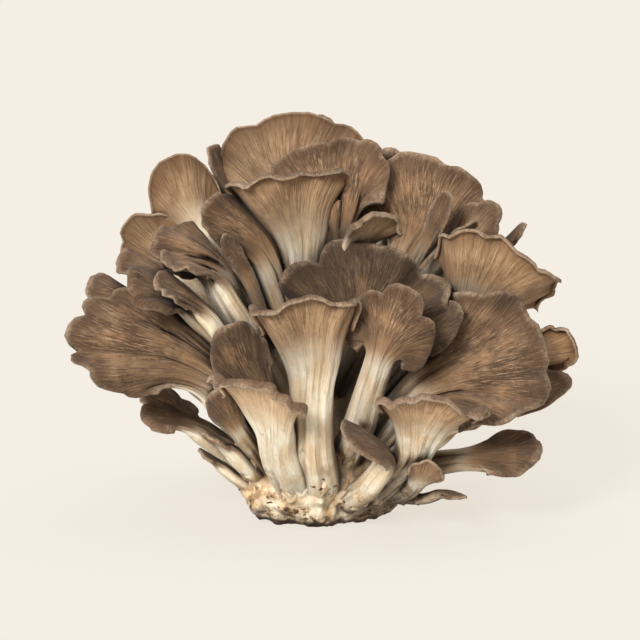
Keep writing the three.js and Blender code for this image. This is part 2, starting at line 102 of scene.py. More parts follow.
# %% Studio light
def soft_sun(name, direction, degrees, strength, colour):
    data = bpy.data.lights.new(name, "SUN")
    data.angle = math.radians(degrees)
    data.energy = strength
    data.color = colour
    lamp = bpy.data.objects.new(name, data)
    lamp.rotation_euler = Vector(direction).to_track_quat("Z", "Y").to_euler()
    bpy.context.collection.objects.link(lamp)
    print(name, "light:", strength)


soft_sun("key", (-0.42, -0.85, 0.55), 18, 3.95, (1.0, 0.965, 0.92))
soft_sun("top", (0.1, 0.05, 1.0), 60, 2.0, (1.0, 0.98, 0.95))

ROOM_COLOUR = (1.0, 0.92, 0.82, 1)
ROOM_STRENGTH = 0.25
world = bpy.data.worlds.new("studio")
world.use_nodes = True
world.node_tree.nodes["Background"].inputs["Color"].default_value = ROOM_COLOUR
world.node_tree.nodes["Background"].inputs["Strength"].default_value = ROOM_STRENGTH
bpy.context.scene.world = world
bpy.context.scene.view_settings.view_transform = "Standard"
bpy.context.scene.view_settings.look = "None"

# %% [markdown]
# ## Floor
#
# The floor is an even cream sheet with a faint shadow under the cluster. It glows by itself, which keeps
# its colour even right to the horizon, and it still reflects a little, so the shadow stays visible.

# %% Floor
FLOOR_RADIUS = 30
FLOOR_GLOW = 0.76

bpy.ops.mesh.primitive_circle_add(vertices=96, radius=FLOOR_RADIUS, fill_type="NGON")
floor = bpy.context.object
floor.name = "floor"
floor_material = bpy.data.materials.new("studio_floor")
floor_material.use_nodes = True
shade = floor_material.node_tree.nodes["Principled BSDF"]
shade.inputs["Base Color"].default_value = (0.1, 0.107, 0.113, 1)
shade.inputs["Emission Color"].default_value = (1.0, 0.92, 0.81, 1)
shade.inputs["Emission Strength"].default_value = FLOOR_GLOW
shade.inputs["Roughness"].default_value = 1.0
shade.inputs["Specular IOR Level"].default_value = 0.0
floor.data.materials.append(floor_material)
print("floor radius:", FLOOR_RADIUS, "m")

# %% [markdown]
# ## The growth table
#
# The fronds differ in place, size and age, but all grow by the same rule. So each is one row of a table,
# not a shape drawn by hand. One row is one frond:
#
# - `line`: its midrib, as root, a point on the stem, the throat where the cap opens, and the margin
# - `face`: the way its brown upper face looks
# - `stem`: half-widths at the root and at the throat; `width` is the half-width of the cap
# - `spread`: how far the fibres fan out to each side, in degrees
# - `cup`: how far the sides turn towards the upper face, in degrees
# - `curl`: the radius and the degrees through which the margin rolls under
# - `lobes`: their number and their depth; `wave`: the count, height and phase of the ruffles
# - `bell`: how late a trumpet flares, from 0 to 1
# - `tone`: from 0 for a dark cap to 1 for a light one, whose underside is nearly cream above 0.6
# - `stem_shade`: how much shade is painted on the stem, in brown, from 0 to 1
#
# `bell`, `tone` and `stem_shade` may be left out. The first group stands in the middle of the front.

# %% Centre fronds
CENTRE = [
    dict(name="centre_funnel", line=[(0, -20, 10), (-3, -38, 36), (-3, -46, 64), (-8, -66, 99)],
         face=(0, 0.6, 0.8), stem=(10, 8), width=26, spread=56, cup=48,
         curl=(2.2, 115), lobes=(3, 0.08), wave=(2, 2.4, 2.0), bell=0.45, tone=0.5),
    dict(name="centre_ledge", line=[(-8, -20, 12), (-15, -38, 32), (-18, -48, 46), (-26, -68, 69)],
         face=(0.3, 0.3, 0.9), stem=(9, 8), width=27, spread=58, cup=12,
         curl=(2.6, 130), lobes=(3, 0.08), wave=(2, 2, 2.4), bell=0.45, tone=0.78),
    dict(name="centre_trefoil", line=[(8, -18, 22), (16, -40, 48), (25, -53, 80), (33, -58, 102)],
         face=(-0.1, -0.95, 0.3), stem=(7, 5.5), width=17.5, spread=125, cup=-14,
         curl=(1.9, 75), lobes=(3, 0.24), wave=(2, 1.5, 0), tone=0.5),
    dict(name="centre_wave_cap", line=[(3, -6, 48), (10, -20, 66), (16, -28, 82), (21, -27, 115)],
         face=(0, -0.9, 0.45), stem=(7, 9), width=36, spread=96, cup=18,
         curl=(2.4, 90), lobes=(3, 0.2), wave=(3, 4, 0.4), tone=0.04, stem_shade=0.4),
    dict(name="centre_left_cap", line=[(-10, -16, 26), (-19, -31, 46), (-25, -40, 61), (-36, -46, 86)],
         face=(-0.1, -0.8, 0.6), stem=(6, 6), width=13, spread=85, cup=-12,
         curl=(1.9, 75), lobes=(2, 0.08), wave=(2, 1.5, 1), tone=0.42, stem_shade=0.35),
    dict(name="centre_right_lobe", line=[(10, -12, 36), (26, -28, 58), (38, -36, 76), (54, -42, 92)],
         face=(0.1, -0.8, 0.6), stem=(4, 4), width=9, spread=90, cup=10,
         curl=(1.2, 75), lobes=(2, 0.06), wave=(1, 1, 0), tone=0.35, stem_shade=0.4),
]
print("centre fronds:", len(CENTRE))

# %% [markdown]
# The right side is ruled by its biggest cap, which is open to the front. A pale hood and some small caps
# crowd the butt below it. Above it a wide trumpet shows its underside.

# %% Right fronds
RIGHT = [
    dict(name="right_big_fan", line=[(16, -14, 20), (30, -28, 44), (48, -36, 63), (87, -38, 79)],
         face=(0.1, -0.9, 0.4), stem=(9, 10), width=30, spread=98, cup=30,
         curl=(2.0, 60), lobes=(5, 0.07), wave=(3, 2.4, 0.6), tone=0.4),
    dict(name="right_apron", line=[(18, -16, 12), (33, -36, 30), (38, -48, 43), (44, -70, 62)],
         face=(0.1, 0.3, 0.95), stem=(9, 8), width=26, spread=62, cup=10,
         curl=(2.2, 120), lobes=(3, 0.1), wave=(2, 2.2, 1), bell=0.4, tone=0.66),
    dict(name="right_low_cap", line=[(10, -22, 10), (20, -38, 22), (25, -50, 36), (9, -62, 48)],
         face=(0.1, -0.45, 0.88), stem=(6, 5), width=11, spread=90, cup=-25,
         curl=(1.5, 75), lobes=(2, 0.05), wave=(1, 1, 0), tone=0.48),
    dict(name="right_low_lip", line=[(22, -10, 8), (35, -28, 16), (39, -40, 24), (44, -54, 34)],
         face=(0.3, 0.1, 0.95), stem=(5, 4), width=8, spread=80, cup=-20,
         curl=(1.5, 75), lobes=(2, 0.1), wave=(1, 1, 0)),
    dict(name="right_finger", line=[(26, -4, 8), (40, -24, 11), (48, -34, 16), (56, -44, 17)],
         face=(0.1, -0.2, 1), stem=(3, 2.5), width=3.5, spread=80, cup=-20,
         curl=(0.8, 75), lobes=(1, 0), wave=(1, 0.3, 0)),
    dict(name="right_low_fan", line=[(20, -6, 14), (42, -20, 24), (64, -28, 29), (87, -34, 34)],
         face=(0, -0.7, 0.7), stem=(6, 5), width=11.5, spread=88, cup=8,
         curl=(1.5, 75), lobes=(3, 0.06), wave=(2, 1, 0), tone=0.42, stem_shade=0.3),
    dict(name="right_edge_petal", line=[(18, 2, 20), (46, 0, 34), (74, -4, 46), (100, -8, 56)],
         face=(0.1, -0.7, 0.7), stem=(5, 4), width=10, spread=85, cup=8,
         curl=(1.5, 75), lobes=(2, 0.05), wave=(1, 1, 0)),
    dict(name="right_trumpet", line=[(14, 6, 34), (46, 6, 50), (76, 2, 61), (103, -2, 71)],
         face=(0, 0.9, 0.3), stem=(5, 4), width=12, spread=60, cup=30,
         curl=(2.2, 130), lobes=(2, 0.1), wave=(1, 1.5, 0), bell=0.5, tone=0.6),
    dict(name="right_funnel", line=[(12, -2, 44), (36, -12, 64), (56, -18, 82), (77, -34, 113)],
         face=(0.3, 0.55, 0.75), stem=(7, 8), width=33, spread=64, cup=40,
         curl=(2.0, 110), lobes=(4, 0.06), wave=(2, 2.2, 0.4), bell=0.35, tone=0.5),
    dict(name="right_back_fan", line=[(6, 4, 60), (24, 9, 86), (37, 12, 112), (42, 18.5, 144)],
         face=(0, -0.9, 0.4), stem=(6, 7), width=30, spread=98, cup=13,
         curl=(1.9, 75), lobes=(5, 0.09), wave=(3, 2, 0), tone=0.55, stem_shade=0.45),
    dict(name="right_tongue", line=[(8, -2, 58), (28, -2, 84), (43, -4, 112), (51, -6, 131)],
         face=(-0.5, -0.8, 0.3), stem=(3, 3), width=5.5, spread=85, cup=20,
         curl=(0.8, 75), lobes=(1, 0), wave=(1, 0.5, 0), stem_shade=0.35),
    dict(name="right_upper_petal", line=[(8, 6, 52), (34, 6, 80), (52, 4, 104), (71, 0, 126)],
         face=(0, -0.6, 0.8), stem=(4, 4), width=13, spread=85, cup=-10,
         curl=(1.5, 75), lobes=(2, 0.08), wave=(2, 1.2, 0), tone=0.5),
    dict(name="right_upper_ledge", line=[(8, -4, 54), (30, -8, 80), (44, -10, 104), (60, -18, 122)],
         face=(0, 0, 1), stem=(4, 4), width=9, spread=80, cup=-15,
         curl=(1.2, 75), lobes=(2, 0.1), wave=(1, 1, 0)),
    dict(name="right_upper_finger", line=[(10, 8, 48), (44, 10, 78), (68, 10, 102), (83, 8, 118)],
         face=(-0.3, -0.4, 0.9), stem=(3, 3), width=4.5, spread=80, cup=-20,
         curl=(0.8, 75), lobes=(1, 0), wave=(1, 0.5, 0)),
]
print("right fronds:", len(RIGHT))

# %% [markdown]
# The crown is one round cap with a wide trumpet before it and the highest fan behind it. Its fronds rise
# from the top of the trunk, so their stems are long and hidden.

# %% Top fronds
TOP = [
    dict(name="top_right_bud", line=[(4, 6, 70), (18, 14, 98), (26, 21, 124), (28, 24, 147)],
         face=(-0.2, -0.85, 0.5), stem=(4, 4), width=8, spread=85, cup=-15,
         curl=(1.2, 75), lobes=(2, 0.05), wave=(1, 0.6, 0)),
    dict(name="top_funnel", line=[(-2, -4, 66), (-5, -8, 86), (-8, -13, 108), (-15, -33, 142)],
         face=(0, 0.6, 0.8), stem=(8, 8), width=31, spread=58, cup=52,
         curl=(2.2, 115), lobes=(3, 0.06), wave=(2, 2.2, 2.2), bell=0.5, tone=0.5, stem_shade=0.3),
    dict(name="top_crown", line=[(2, 2, 72), (4, 4, 96), (4, 6, 122), (-5, 14, 148)],
         face=(0.05, -0.85, 0.5), stem=(6, 8), width=30, spread=92, cup=24,
         curl=(2.2, 60), lobes=(7, 0.07), wave=(4, 2.2, 1), tone=0.72, stem_shade=0.3),
    dict(name="top_spoon", line=[(4, -8, 62), (9, -15, 86), (13, -19, 110), (26, -33, 126)],
         face=(-0.1, 0.4, 0.9), stem=(5, 5), width=14, spread=60, cup=-8,
         curl=(1.8, 110), lobes=(2, 0.1), wave=(1, 1.2, 1.6), bell=0.4, tone=0.55),
    dict(name="top_back_fan", line=[(-2, 6, 70), (-5, 14, 98), (-10, 18, 120), (-12, 28, 160)],
         face=(0, 0.9, 0.45), stem=(7, 8), width=36, spread=96, cup=24,
         curl=(2.2, 70), lobes=(4, 0.06), wave=(4, 1.6, 0), bell=0.2, tone=0.3),
    dict(name="top_back_bud", line=[(2, 10, 66), (3, 24, 100), (1, 36, 142), (-1, 38, 158)],
         face=(0, -0.8, 0.6), stem=(4, 4), width=8, spread=85, cup=-15,
         curl=(1.2, 75), lobes=(2, 0.05), wave=(1, 0.5, 0)),
]
print("top fronds:", len(TOP))

# %% [markdown]
# The left side has one very wide cap low down and a crowd of small petals above it. The petals overlap
# like tiles, so each stands a few millimetres before the next.

# %% Left fronds
LEFT = [
    dict(name="left_big_fan", line=[(-14, -14, 20), (-34, -26, 48), (-51, -34, 68), (-97, -38, 84)],
         face=(0.15, -0.9, 0.45), stem=(8, 8), width=23, spread=84, cup=18,
         curl=(2.0, 60), lobes=(6, 0.1), wave=(3, 2, 0), tone=0.42),
    dict(name="left_back_round", line=[(-6, 4, 62), (-26, 8, 88), (-48, 10, 116), (-61, 8, 144)],
         face=(-0.1, 0.95, 0.3), stem=(5, 6), width=15, spread=100, cup=20,
         curl=(1.6, 70), lobes=(3, 0.04), wave=(2, 1.2, 0), tone=0.38),
    dict(name="left_back_leaf", line=[(-4, 14, 66), (-18, 24, 98), (-34, 27, 124), (-44, 29, 147)],
         face=(0.75, -0.3, 0.5), stem=(3, 4), width=9, spread=90, cup=8,
         curl=(1.2, 75), lobes=(2, 0.05), wave=(1, 1, 0)),
    dict(name="left_back_lower", line=[(-10, 4, 46), (-34, 10, 76), (-58, 14, 100), (-79, 12, 118)],
         face=(-0.3, 0.8, 0.6), stem=(5, 6), width=15, spread=92, cup=14,
         curl=(1.9, 75), lobes=(3, 0.05), wave=(2, 1.2, 0), tone=0.4),
    dict(name="left_hood", line=[(-6, -6, 60), (-16, -14, 88), (-24, -18, 112), (-45, -26, 130)],
         face=(-0.1, -0.8, 0.6), stem=(5, 6), width=12, spread=88, cup=-14,
         curl=(1.9, 75), lobes=(3, 0.07), wave=(2, 1.5, 0), tone=0.5, stem_shade=0.35),
    dict(name="left_finger", line=[(-8, -8, 58), (-22, -22, 86), (-29, -26, 102), (-38, -30, 117)],
         face=(-0.2, -0.7, 0.7), stem=(3, 2.5), width=4, spread=80, cup=-20,
         curl=(0.8, 75), lobes=(1, 0), wave=(1, 0.5, 0), stem_shade=0.85),
    dict(name="left_pair_upper", line=[(-10, -6, 50), (-32, -15, 84), (-43, -18, 105), (-65, -20, 116)],
         face=(0, -0.55, 0.85), stem=(6, 6), width=15, spread=88, cup=-12,
         curl=(2.2, 75), lobes=(3, 0.1), wave=(3, 2, 1), tone=0.5, stem_shade=0.25),
    dict(name="left_pair_lower", line=[(-14, -12, 44), (-31, -25, 80), (-43, -29, 101), (-60, -38, 111)],
         face=(0.1, 0, 1), stem=(7, 6), width=13, spread=80, cup=-20,
         curl=(2.2, 75), lobes=(3, 0.1), wave=(2, 2, 0), tone=0.55, stem_shade=0.1),
    dict(name="left_petal_middle", line=[(-12, -14, 36), (-35, -36, 74), (-47, -40, 92), (-62, -46, 104)],
         face=(0, -0.4, 0.9), stem=(4, 4), width=11, spread=80, cup=-15,
         curl=(1.2, 75), lobes=(3, 0.08), wave=(2, 1.6, 0)),
    dict(name="left_petal_back", line=[(-14, -4, 40), (-42, -12, 78), (-61, -14, 98), (-79, -16, 107)],
         face=(0, -0.4, 0.9), stem=(4, 4), width=12, spread=85, cup=-12,
         curl=(1.5, 75), lobes=(2, 0.06), wave=(2, 1.6, 0), tone=0.5),
    dict(name="left_petal_front", line=[(-14, -12, 34), (-38, -24, 72), (-54, -31, 91), (-74, -44, 104)],
         face=(0.1, -0.55, 0.85), stem=(5, 5), width=14, spread=85, cup=14,
         curl=(2.2, 120), lobes=(3, 0.06), wave=(2, 2, 1), tone=0.5, stem_shade=0.25),
    dict(name="left_petal_outer", line=[(-16, -8, 30), (-50, -14, 68), (-73, -20, 88), (-91, -24, 99)],
         face=(0, -0.4, 0.9), stem=(4, 4), width=10, spread=85, cup=-10,
         curl=(1.5, 75), lobes=(2, 0.06), wave=(1, 1, 0), tone=0.5),
    dict(name="left_low_round", line=[(-16, -16, 16), (-28, -32, 36), (-34, -38, 47), (-41, -42, 59)],
         face=(-0.2, -0.8, 0.5), stem=(4, 4), width=8, spread=90, cup=-10,
         curl=(0.8, 75), lobes=(1, 0), wave=(1, 0.5, 0), stem_shade=0.3, tone=0.4),
    dict(name="left_low_bar", line=[(-18, -14, 12), (-29, -27, 25), (-37, -34, 35), (-45, -40, 41)],
         face=(0, 0, 1), stem=(4, 4), width=6, spread=80, cup=-20,
         curl=(1.2, 75), lobes=(1, 0), wave=(1, 0.5, 0), tone=0.55, stem_shade=0),
    dict(name="left_low_petal", line=[(-18, -10, 8), (-28, -20, 16), (-40, -27, 27), (-47, -31, 32)],
         face=(0, -0.2, 1), stem=(4, 3), width=5.5, spread=80, cup=-15,
         curl=(0.8, 75), lobes=(1, 0), wave=(1, 0.5, 0), tone=0.6, stem_shade=0),
    dict(name="left_low_trumpet", line=[(-16, -6, 14), (-36, -14, 28), (-54, -18, 40), (-71, -20, 47)],
         face=(-0.1, -0.35, 0.9), stem=(4, 4), width=9, spread=80, cup=25,
         curl=(2.2, 110), lobes=(2, 0.1), wave=(1, 1, 0), tone=0.6, stem_shade=0),
]
print("left fronds:", len(LEFT))

# %% [markdown]
# The back and the sides have the same kind of fronds as the front, set out evenly, so that the cluster is
# full from every side.

# %% Back and side fronds
BACK = [
    dict(name="back_centre_fan", line=[(0, 8, 56), (2, 26, 78), (2, 38, 98), (4, 56, 128)],
         face=(0, -0.6, 0.8), stem=(7, 8), width=24, spread=85, cup=24,
         curl=(2.6, 75), lobes=(4, 0.08), wave=(3, 2.5, 0)),
    dict(name="back_left_fan", line=[(-10, 8, 40), (-32, 26, 60), (-50, 36, 78), (-74, 48, 100)],
         face=(0.3, -0.5, 0.8), stem=(7, 7), width=21, spread=85, cup=26,
         curl=(2.2, 75), lobes=(4, 0.08), wave=(2, 2, 1)),
    dict(name="back_right_fan", line=[(10, 8, 40), (32, 26, 62), (48, 36, 82), (70, 48, 106)],
         face=(-0.3, -0.5, 0.8), stem=(7, 7), width=22, spread=85, cup=26,
         curl=(2.2, 75), lobes=(4, 0.08), wave=(3, 2, 2)),
    dict(name="back_low_left", line=[(-14, 14, 16), (-32, 36, 32), (-44, 48, 42), (-62, 66, 60)],
         face=(-0.2, 0.7, 0.7), stem=(8, 8), width=22, spread=88, cup=-10,
         curl=(2.2, 75), lobes=(4, 0.08), wave=(3, 2, 0)),
    dict(name="back_low_centre", line=[(0, 18, 14), (-2, 44, 30), (-4, 58, 44), (-6, 78, 66)],
         face=(0, 0.7, 0.7), stem=(9, 8), width=23, spread=88, cup=-10,
         curl=(2.2, 75), lobes=(5, 0.07), wave=(3, 2, 1)),
    dict(name="back_low_right", line=[(14, 14, 16), (32, 34, 32), (46, 46, 44), (66, 62, 64)],
         face=(0.2, 0.7, 0.7), stem=(8, 8), width=22, spread=88, cup=-10,
         curl=(2.2, 75), lobes=(4, 0.08), wave=(2, 2, 0)),
    dict(name="back_mid_left", line=[(-6, 12, 36), (-18, 36, 60), (-26, 48, 76), (-38, 66, 98)],
         face=(-0.2, 0.8, 0.5), stem=(6, 7), width=19, spread=90, cup=-8,
         curl=(1.9, 75), lobes=(3, 0.08), wave=(2, 2, 0), stem_shade=0.5),
    dict(name="back_mid_right", line=[(6, 12, 36), (18, 36, 60), (24, 48, 78), (34, 66, 100)],
         face=(0.2, 0.8, 0.5), stem=(6, 7), width=19, spread=90, cup=-8,
         curl=(1.9, 75), lobes=(4, 0.08), wave=(3, 2, 1), stem_shade=0.5),
    dict(name="side_left_middle", line=[(-16, 4, 24), (-42, 12, 44), (-62, 16, 60), (-86, 20, 78)],
         face=(-0.1, 0.3, 0.95), stem=(7, 6), width=17, spread=85, cup=-12,
         curl=(1.9, 75), lobes=(3, 0.08), wave=(2, 1.5, 0)),
    dict(name="side_right_middle", line=[(14, 8, 28), (42, 20, 48), (62, 26, 62), (86, 34, 82)],
         face=(0.1, 0.4, 0.9), stem=(7, 6), width=18, spread=85, cup=-12,
         curl=(1.9, 75), lobes=(3, 0.08), wave=(2, 1.5, 1)),
    dict(name="back_upper_left", line=[(-4, 8, 62), (-18, 24, 90), (-28, 32, 112), (-38, 44, 138)],
         face=(0.3, -0.6, 0.75), stem=(5, 6), width=16, spread=88, cup=12,
         curl=(1.9, 75), lobes=(3, 0.08), wave=(2, 1.5, 0)),
    dict(name="back_upper_right", line=[(6, 8, 60), (20, 24, 86), (30, 32, 108), (40, 46, 134)],
         face=(-0.3, -0.6, 0.75), stem=(5, 6), width=17, spread=88, cup=12,
         curl=(1.9, 75), lobes=(3, 0.08), wave=(2, 1.5, 2)),
    dict(name="side_left_high", line=[(-8, 6, 54), (-30, 20, 82), (-42, 27, 100), (-60, 36, 124)],
         face=(-0.6, 0.2, 0.75), stem=(5, 5), width=17, spread=88, cup=-14,
         curl=(1.9, 75), lobes=(3, 0.08), wave=(2, 1.5, 0)),
    dict(name="side_right_high", line=[(8, 8, 50), (32, 24, 76), (48, 31, 94), (66, 38, 118)],
         face=(0.6, 0.2, 0.75), stem=(5, 5), width=17, spread=88, cup=-14,
         curl=(1.9, 75), lobes=(3, 0.08), wave=(2, 1.5, 1)),
    dict(name="side_left_low", line=[(-20, 6, 12), (-42, 14, 26), (-54, 20, 34), (-72, 28, 50)],
         face=(-0.4, 0.2, 0.9), stem=(6, 6), width=18, spread=88, cup=-14,
         curl=(1.9, 75), lobes=(3, 0.08), wave=(2, 1.5, 1)),
    dict(name="side_right_low", line=[(20, 6, 12), (42, 14, 24), (55, 18, 32), (76, 24, 46)],
         face=(0.4, 0.2, 0.9), stem=(6, 6), width=18, spread=88, cup=-14,
         curl=(1.9, 75), lobes=(3, 0.08), wave=(2, 1.5, 0)),
]
print("back and side fronds:", len(BACK))

# %% [markdown]
# ## All fronds in growing order
#
# Each frond gets its own seed for its small waves, so no two are alike, and a tone where the table has
# none. The random numbers have a fixed start, which makes the cluster the same each time it is grown.

# %% Seeds and tones
TONE_START = 11
FIRST_SEED = 1.7
SEED_STEP = 2.399

FRONDS = CENTRE + TOP + RIGHT + LEFT + BACK
rng = np.random.default_rng(TONE_START)
for number, frond in enumerate(FRONDS):
    frond["seed"] = FIRST_SEED + SEED_STEP * number
    frond["tone"] = frond.get("tone", 0.35 + 0.3 * rng.random())
print("fronds in the table:", len(FRONDS))

# %% [markdown]
# ## The growth rule
#
# A frond grows along one line, its midrib. It could be a Blender curve, but the flesh around it needs a
# point and a direction at any distance along it. So the midrib is a smooth curve through the row's four
# points, cut into short steps that can be looked up.

# %% Helpers for smooth changes
def smooth(x):
    t = np.clip(x, 0, 1)
    return t * t * (3 - 2 * t)


def mix(a, b, t):
    return a + (b - a) * t


# %% Midrib
STEPS = 80


class Midrib:
    def __init__(self, frond):
        p = np.array(frond["line"], float)
        p = np.vstack([2 * p[0] - p[1], p, 2 * p[-1] - p[-2]])
        t = np.linspace(0, 1, STEPS, endpoint=False)[:, None]
        runs = []
        for a, b, c, d in zip(p[:-3], p[1:-2], p[2:-1], p[3:]):
            m0 = 0.5 * (c - a)
            m1 = 0.5 * (d - b)
            runs.append(b + m0 * t + (3 * (c - b) - 2 * m0 - m1) * t**2 + (m0 + m1 - 2 * (c - b)) * t**3)
        self.points = np.vstack(runs + [p[-2][None]])
        steps = np.linalg.norm(np.diff(self.points, axis=0), axis=1)
        self.along = np.concatenate([[0], np.cumsum(steps)])
        self.length = self.along[-1]
        self.throat = self.along[STEPS * (len(frond["line"]) - 2)]
        self.tangents = np.gradient(self.points, axis=0)
        self.tangents /= np.linalg.norm(self.tangents, axis=1)[:, None]
        heading = p[-2] - p[-3]
        self.across = np.cross(heading, frond["face"])
        self.across /= np.linalg.norm(self.across)

    def at(self, s, table):
        return np.stack([np.interp(s, self.along, table[:, k]) for k in range(3)], -1)


print("longest frond:", round(max(Midrib(frond).length for frond in FRONDS)), "mm")

# %% [markdown]
# ## The pressed shape
#
# A point of a frond has two numbers: `u` runs from 0 at the root to 1 at the margin, and `v` from -1 to 1
# across it. Pressed flat, the stem is a strip, and past the throat each fibre curves out to a blunt,
# lobed margin. Working in `u` and `v` makes every grid line a fibre, which later carries the streaks.

# %% Pressed shape
STEM_SHARE = 0.4
FLARE = 0.4
BLUNTNESS = 0.75
CORNER_FROM = 0.76
CORNER_CUT = 0.24


def blunt(x):
    return np.sign(x) * np.abs(x) ** BLUNTNESS


def cap_share(u):
    return np.clip((u - STEM_SHARE) / (1 - STEM_SHARE), 0, 1)


def outline(frond, v):
    count, depth = frond["lobes"]
    seed = frond["seed"]
    notch = 1 - np.abs(np.cos(np.pi * count * v / 2 + 0.35 * np.sin(3 * v + seed)))
    fine = np.sin(9 * v + seed) + 0.6 * np.sin(17 * v + 2 * seed) + 0.4 * np.sin(31 * v + 3 * seed)
    corner = 1 - CORNER_CUT * smooth((np.abs(v) - CORNER_FROM) / (1 - CORNER_FROM))
    return (1 - depth * notch**1.5 + 0.012 * fine) * corner


def flat_point(frond, rib, u, v):
    cap = rib.length - rib.throat
    opening = max(0.4 * rib.throat, rib.throat - FLARE * cap)
    root, neck = frond["stem"]
    k = np.clip(u / STEM_SHARE, 0, 1)
    stem_x = opening * k
    stem_y = v * mix(root, neck, k)
    half = math.radians(frond["spread"])
    lobe = outline(frond, v)
    full = blunt(math.sin(min(half, math.pi / 2)))
    end_x = rib.throat + cap * lobe * blunt(np.cos(v * half))
    end_y = frond["width"] * lobe * blunt(np.sin(v * half)) / full
    t = cap_share(u)
    a, b, c = (1 - t) ** 2, 2 * t * (1 - t), t * t
    bell = rib.throat + frond.get("bell", 0.1) * cap
    cap_x = a * opening + b * bell + c * end_x
    cap_y = a * v * neck + b * v * neck * 1.15 + c * end_y
    on_stem = u <= STEM_SHARE
    return np.where(on_stem, stem_x, cap_x), np.where(on_stem, stem_y, cap_y)


# %% [markdown]
# ## The bent shape
#
# Near the margin the sheet rolls under, as a young cap does. `curled` works out how far a fibre still
# reaches and how deep it has dropped. A cloth simulation could make the ruffles, but sums of waves that
# grow towards the rim give the same look and stay the same each time.

# %% Curled margin
def curled(frond, rib, t, v):
    radius, degrees = frond["curl"]
    cap = rib.length - rib.throat
    half = math.radians(frond["spread"])
    fibre = np.hypot(cap * np.cos(v * half), frond["width"] * np.sin(v * half))
    band = radius * math.radians(degrees)
    turn = np.maximum(band - fibre * (1 - t * t), 0) / radius
    kept = np.where(turn > 0, fibre - band + radius * np.sin(turn), fibre * t * t)
    return np.sqrt(np.clip(kept / fibre, 0, 1)), radius * (1 - np.cos(turn))


# %% Ruffles
def ruffles(frond, t, v):
    count, height, phase = frond["wave"]
    seed = frond["seed"]
    ruffle = height * t * t * np.sin(np.pi * count * v + phase)
    ruffle += 0.35 * height * t**4 * np.sin(np.pi * (2.3 * count + 1) * v + seed)
    ruffle += 0.22 * height * t**2 * np.sin(np.pi * (3.3 * count + 1) * v + 3 * seed)
    ruffle += 0.16 * height * t**6 * np.sin(np.pi * (5.1 * count + 2) * v + 2 * seed)
    return ruffle


# %% Sway
SWAY = 0.45
SWAY_LENGTH = 9


def warp(point, seed):
    x, y, z = point[..., 0] / SWAY_LENGTH, point[..., 1] / SWAY_LENGTH, point[..., 2] / SWAY_LENGTH
    sway = np.stack([
        np.sin(y + 1.3 * z + seed) + 0.5 * np.sin(2.1 * z - x + 2 * seed),
        np.sin(z - 1.2 * x + 3 * seed) + 0.5 * np.sin(2.3 * x + y + seed),
        np.sin(x + 1.1 * y + 5 * seed) + 0.5 * np.sin(2.2 * y - z + 4 * seed),
    ], -1)
    return SWAY * sway


# %% Bent shape
def sheet_point(frond, rib, u, v):
    t = cap_share(u)
    kept, drop = curled(frond, rib, t, v)
    u = np.where(u > STEM_SHARE, STEM_SHARE + kept * (1 - STEM_SHARE), u)
    x, y = flat_point(frond, rib, u, v)
    on = np.clip(x, 0, rib.length)
    tangent = rib.at(on, rib.tangents)
    tangent /= np.linalg.norm(tangent, axis=-1)[..., None]
    point = rib.at(on, rib.points) + tangent * (x - on)[..., None]
    side = rib.across - tangent * (tangent @ rib.across)[..., None]
    side /= np.linalg.norm(side, axis=-1)[..., None]
    up = np.cross(side, tangent)
    bend = math.radians(frond["cup"] or 1) / frond["width"]
    lift = ruffles(frond, t, v) - drop
    turn = bend * y
    point += side * (np.sin(turn) / bend - lift * np.sin(turn))[..., None]
    point += up * ((1 - np.cos(turn)) / bend + lift * np.cos(turn))[..., None]
    return point + warp(point, frond["seed"]) * smooth(u * 3)[..., None]


# %% [markdown]
# ## Flesh
#
# The flesh is round in the stem and thins to a sheet in the cap. A Solidify modifier would give one
# thickness all over, so the thickness is a formula instead. Near the rim the two faces meet in a rounded
# edge. `reach` measures how far a point is from the rim, in millimetres.

# %% Flesh
CAP_THICKNESS = 2.6
STEM_DEPTH = 0.8
RIM_ROUNDING = 0.9
RIM_THINNING = 0.55


def reach(frond, rib, u, v):
    t = cap_share(u)
    cap = rib.length - rib.throat
    half = mix(frond["stem"][1], frond["width"], smooth(t))
    return np.minimum((1 - t) * cap * 1.3, (1 - np.abs(v)) * half)


def half_thickness(frond, rib, u, v):
    t = cap_share(u)
    root, neck = frond["stem"]
    stem = STEM_DEPTH * mix(root, neck, np.clip(u / STEM_SHARE, 0, 1))
    rounded = stem * np.sqrt(np.clip(1 - v * v, 0, 1))
    rounded *= 1 + 0.09 * np.sin(9 * v + frond["seed"]) + 0.05 * np.sin(19 * v + 2 * frond["seed"] + 6 * u)
    thin = min(CAP_THICKNESS / 2, 0.45 * neck)
    sheet = mix(thin, RIM_THINNING * thin, smooth((t - 0.5) / 0.5))
    near = np.clip(reach(frond, rib, u, v) / RIM_ROUNDING, 0, 1)
    edged = sheet * np.sqrt(np.clip(1 - (1 - near) ** 2, 0, 1))
    opened = smooth(t / 0.62)
    thick = mix(rounded, np.minimum(edged, rounded + 0.8 * edged), opened)
    closed = np.sqrt(np.clip(1 - (1 - np.clip(u / 0.03, 0, 1)) ** 2, 0, 1))
    return thick * closed * (u < 1)


# %% [markdown]
# ## Building a frond
#
# Each frond starts as a flat grid. The grid's short way is wrapped round the frond, over its upper face
# and back along its underside. Where its edges meet they are merged, so the open grid becomes one closed
# skin.

# %% Wrapped grid
MERGE_DISTANCE = 0.000002


def wrapped_grid(name, rows, around):
    bpy.ops.mesh.primitive_grid_add(x_subdivisions=rows, y_subdivisions=around, size=2)
    piece = bpy.context.object
    piece.name = name
    co = np.empty(len(piece.data.vertices) * 3)
    piece.data.vertices.foreach_get("co", co)
    co = co.reshape(-1, 3)
    return piece, (co[:, 0] + 1) / 2, (co[:, 1] + 1) / 2


def both_faces(q):
    ring = np.where(q <= 0.5, q * 2, (1 - q) * 2)
    upper = np.where(q < 0.5, 1.0, -1.0)
    return ring, upper


